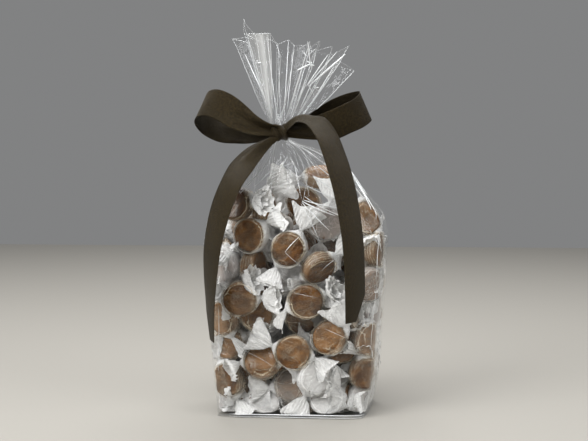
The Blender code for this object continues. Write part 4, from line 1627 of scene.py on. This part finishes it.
class CARAMELS_OT_stage(bpy.types.Operator):
    """Adds the floor, the soft lights and the camera"""

    bl_idname = "caramels.stage"
    bl_label = "Stage"

    def execute(self, context):
        settings = context.scene.caramels_stage
        wide, deep = FLOOR_HALF
        corners = [(-wide, -deep, 0), (wide, -deep, 0), (wide, deep, 0), (-wide, deep, 0)]
        floor = make_mesh("counter", corners, [(0, 1, 2, 3)], smooth=False)
        floor.data.materials.append(floor_finish(settings.floor))
        for name, place, size, power in SOFTBOXES:
            light = bpy.data.lights.new(name, "AREA")
            light.shape = "RECTANGLE"
            light.size, light.size_y = size
            light.energy = power * settings.light
            aimed(add_object(name, light), place, LIGHT_AIM)
        world = bpy.data.worlds.new("studio")
        world.use_nodes = True
        world.node_tree.nodes["Background"].inputs["Color"].default_value = STUDIO_GREY
        world.node_tree.nodes["Background"].inputs["Strength"].default_value = 1.0
        context.scene.world = world
        context.scene.view_settings.view_transform = "Standard"
        context.scene.cycles.transparent_max_bounces = FILM_LAYERS
        camera = bpy.data.cameras.new("camera")
        camera.lens = LENS
        camera.clip_end = 20
        item = add_object("camera", camera)
        aimed(item, CAMERA_PLACE, CAMERA_AIM)
        context.scene.camera = item
        return {"FINISHED"}


class CARAMELS_OT_sweets(bpy.types.Operator):
    """Packs the caramels into the bag and winds paper round each"""

    bl_idname = "caramels.sweets"
    bl_label = "Caramels"

    def execute(self, context):
        settings = context.scene.caramels_sweets
        places, turns, held = packed(settings.loose)
        rng = np.random.default_rng(SEED + 1)
        count = len(places)
        haze = np.concatenate([[row[6] for row in FRONT_SWEETS], rng.uniform(0.0, 0.5, count - held)])
        tone = rng.uniform(0, 1, count)
        collar = 0.12 + 0.7 * rng.uniform(0, 1, count) ** 1.5
        collar[:held] = 0.16
        collar[: settings.collars] = 0.95
        same = np.ones(count)
        tree = scatter_tree()
        disc = disc_piece()
        sweet = caramel_finish(settings.caramel, settings.caramel_dark)
        discs = scattered("caramels", tree, disc, places, turns, {"size": same, "tone": tone}, sweet)
        move_points(discs, pressed_inside(points_of(discs), CARAMEL_FILM_GAP))
        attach(discs, "root")
        bpy.data.objects.remove(disc)
        paper = paper_finish(settings.paper)
        cover = []
        for style, slack in enumerate(SLEEVE_SLACK):
            mine = np.arange(count) % len(SLEEVE_SLACK) == style
            sleeve = sleeve_piece("paper_sleeve", SEED + 20 + style, slack)
            values = {"size": same[mine], "haze": haze[mine], "tone": tone[mine], "collar": collar[mine]}
            name = f"paper_sleeves_{style + 1}"
            item = scattered(name, tree, sleeve, places[mine], turns[mine], values, paper)
            points = pressed_inside(points_of(item), FILM_GAP)
            move_points(item, points)
            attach(item, "root")
            cover.append(points)
            bpy.data.objects.remove(sleeve)
        PACKING.update(places=places, turns=turns, held=held, tree=tree, paper=paper, cover=cover, haze=haze)
        return {"FINISHED"}


class CARAMELS_OT_paper_ends(bpy.types.Operator):
    """Adds the twisted paper ends of every caramel"""

    bl_idname = "caramels.paper_ends"
    bl_label = "Paper ends"

    def execute(self, context):
        keys = ("places", "turns", "held", "tree", "paper")
        places, turns, held, tree, paper = (PACKING[key] for key in keys)
        rng = np.random.default_rng(SEED + 2)
        roots, frames, names = tail_frames(places, turns, held, rng)
        owner = np.repeat(np.arange(len(places)), 2)
        for kind in TAIL_KINDS:
            for style in range(END_STYLES):
                mine = np.nonzero(names == kind)[0][style::END_STYLES]
                end = tail_piece("paper_end", kind, SEED + 31 * (style + 1) + len(kind))
                values = {"size": rng.uniform(0.88, 1.12, len(mine)), "haze": PACKING["haze"][owner[mine]]}
                name = f"paper_{kind}_ends_{style + 1}"
                item = scattered(name, tree, end, roots[mine], frames[mine], values, paper)
                points = pushed_off(points_of(item), len(end.data.vertices), places, turns, held)
                points = pressed_inside(points, FILM_GAP)
                move_points(item, points)
                PACKING["cover"].append(points)
                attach(item, "root")
                bpy.data.objects.remove(end)
        return {"FINISHED"}


class CARAMELS_OT_film_body(bpy.types.Operator):
    """Draws the clear film over the sweets, with its creases and its folded base"""

    bl_idname = "caramels.film_body"
    bl_label = "Film bag"

    def execute(self, context):
        film = film_finish(context.scene.caramels_film.colour)
        points = body_film(PACKING["cover"])
        flat, faces = with_base(points)
        # Painted highlight: the film is drawn whiter towards the neck, where it gathers.
        crease = eased((flat[:, 2] - 222) / 20) * 0.25
        body = make_mesh("film_body", flat, faces, [("crease", "FLOAT", crease)])
        body.data.materials.append(film)
        lines, widths = body_creases(points)
        more, wide = base_edges(points)
        ridges = crease_lines("film_body_creases", lines + more, widths + wide, film)
        for item in (body, ridges):
            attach(item, "root")
        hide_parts("bag")
        PACKING["film"] = film
        return {"FINISHED"}


class CARAMELS_OT_film_fan(bpy.types.Operator):
    """Adds the loose film that fans out above the tie, with its creases"""

    bl_idname = "caramels.film_fan"
    bl_label = "Film fan"

    def execute(self, context):
        film = PACKING["film"]
        rng = np.random.default_rng(SEED + 8)
        points, white, corner = fan_film()
        steps, around, _ = points.shape
        rise = np.repeat(np.linspace(0, 1, steps), around)
        every_other = np.arange(0, around, 2)
        # Painted highlights: the fan is drawn whiter in uneven streaks on the columns that FAN_FOLDS whitens,
        # and towards the neck.
        streaks = np.interp(np.arange(around), every_other, rng.uniform(0.35, 1, len(every_other)))
        glow = 0.04 + np.tile(white * streaks, steps) * eased(rise / 0.25) + 0.18 * (1 - rise) ** 3
        faces = grid_faces(steps, around, True)
        fan = make_mesh("film_fan", points.reshape(-1, 3), faces, [("crease", "FLOAT", glow)])
        fan.data.materials.append(film)
        lines, widths = edge_creases(points, white, corner, rng)
        seen = points.reshape(-1, 3) @ VIEW
        groups = [star_creases(seen, place, reach, count, rng) for place, reach, count in FAN_STARS]
        for more, wide in (*groups, fan_creases(seen)):
            lines += more
            widths += wide
        rays = crease_lines("film_fan_creases", lines, widths, film)
        for item in (fan, rays):
            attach(item, "root")
        return {"FINISHED"}


class CARAMELS_OT_ribbon(bpy.types.Operator):
    """Ties the ribbon round the neck in a bow with two loops and two tails"""

    bl_idname = "caramels.ribbon"
    bl_label = "Ribbon bow"

    def execute(self, context):
        settings = context.scene.caramels_ribbon
        width = settings.width / MM
        runs = [
            ribbon_run(LEFT_LOOP, width, painted_shade_side=(1, 0)),
            ribbon_run(RIGHT_LOOP, width),
            ribbon_run(LEFT_TAIL, width, TAIL_CUTS["left_tail"]),
            ribbon_run(RIGHT_TAIL, width, TAIL_CUTS["right_tail"]),
            knot_shape(),
            collar_shape(),
        ]
        points, faces, grain, length = [], [], [], 0.0
        for place, quads, lay, total in runs:
            start = sum(len(p) for p in points)
            points.append(place)
            grain.append(lay)
            faces.extend([int(index) + start for index in quad] for quad in quads)
            length += total
        extra = [("grain", "FLOAT_VECTOR", np.concatenate(grain))]
        bow = make_mesh("ribbon_bow", np.concatenate(points), faces, extra)
        bow.data.materials.append(ribbon_finish(settings.colour, settings.light))
        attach(bow, "root")
        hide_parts("ribbon")
        length * MM
        return {"FINISHED"}


class CARAMELS_PT_panel(bpy.types.Panel):
    """The bag of caramels"""

    bl_idname = "CARAMELS_PT_panel"
    bl_label = "Bag of caramels"
    bl_space_type = "VIEW_3D"
    bl_region_type = "UI"
    bl_category = "Caramels"

    def draw(self, context):
        for step in STEPS:
            self.layout.operator(step.bl_idname)


STEPS = (
    CARAMELS_OT_stage,
    CARAMELS_OT_sweets,
    CARAMELS_OT_paper_ends,
    CARAMELS_OT_film_body,
    CARAMELS_OT_film_fan,
    CARAMELS_OT_ribbon,
)
SETTINGS = {
    "caramels_sweets": CaramelsSweetSettings,
    "caramels_film": CaramelsFilmSettings,
    "caramels_ribbon": CaramelsRibbonSettings,
    "caramels_stage": CaramelsStageSettings,
}


def register():
    """Adds the operators, the panel and the settings to Blender."""
    for kind in (*SETTINGS.values(), *STEPS, CARAMELS_PT_panel):
        bpy.utils.register_class(kind)
    for name, kind in SETTINGS.items():
        setattr(bpy.types.Scene, name, PointerProperty(type=kind))


def unregister():
    """Takes them away again."""
    for name in SETTINGS:
        delattr(bpy.types.Scene, name)
    for kind in reversed((*SETTINGS.values(), *STEPS, CARAMELS_PT_panel)):
        bpy.utils.unregister_class(kind)


def main():
    """Builds the whole bag."""
    register()
    bpy.ops.caramels.stage()
    bpy.ops.caramels.sweets()
    bpy.ops.caramels.paper_ends()
    bpy.ops.caramels.film_body()
    bpy.ops.caramels.film_fan()
    bpy.ops.caramels.ribbon()


if __name__ == "__main__":
    main()
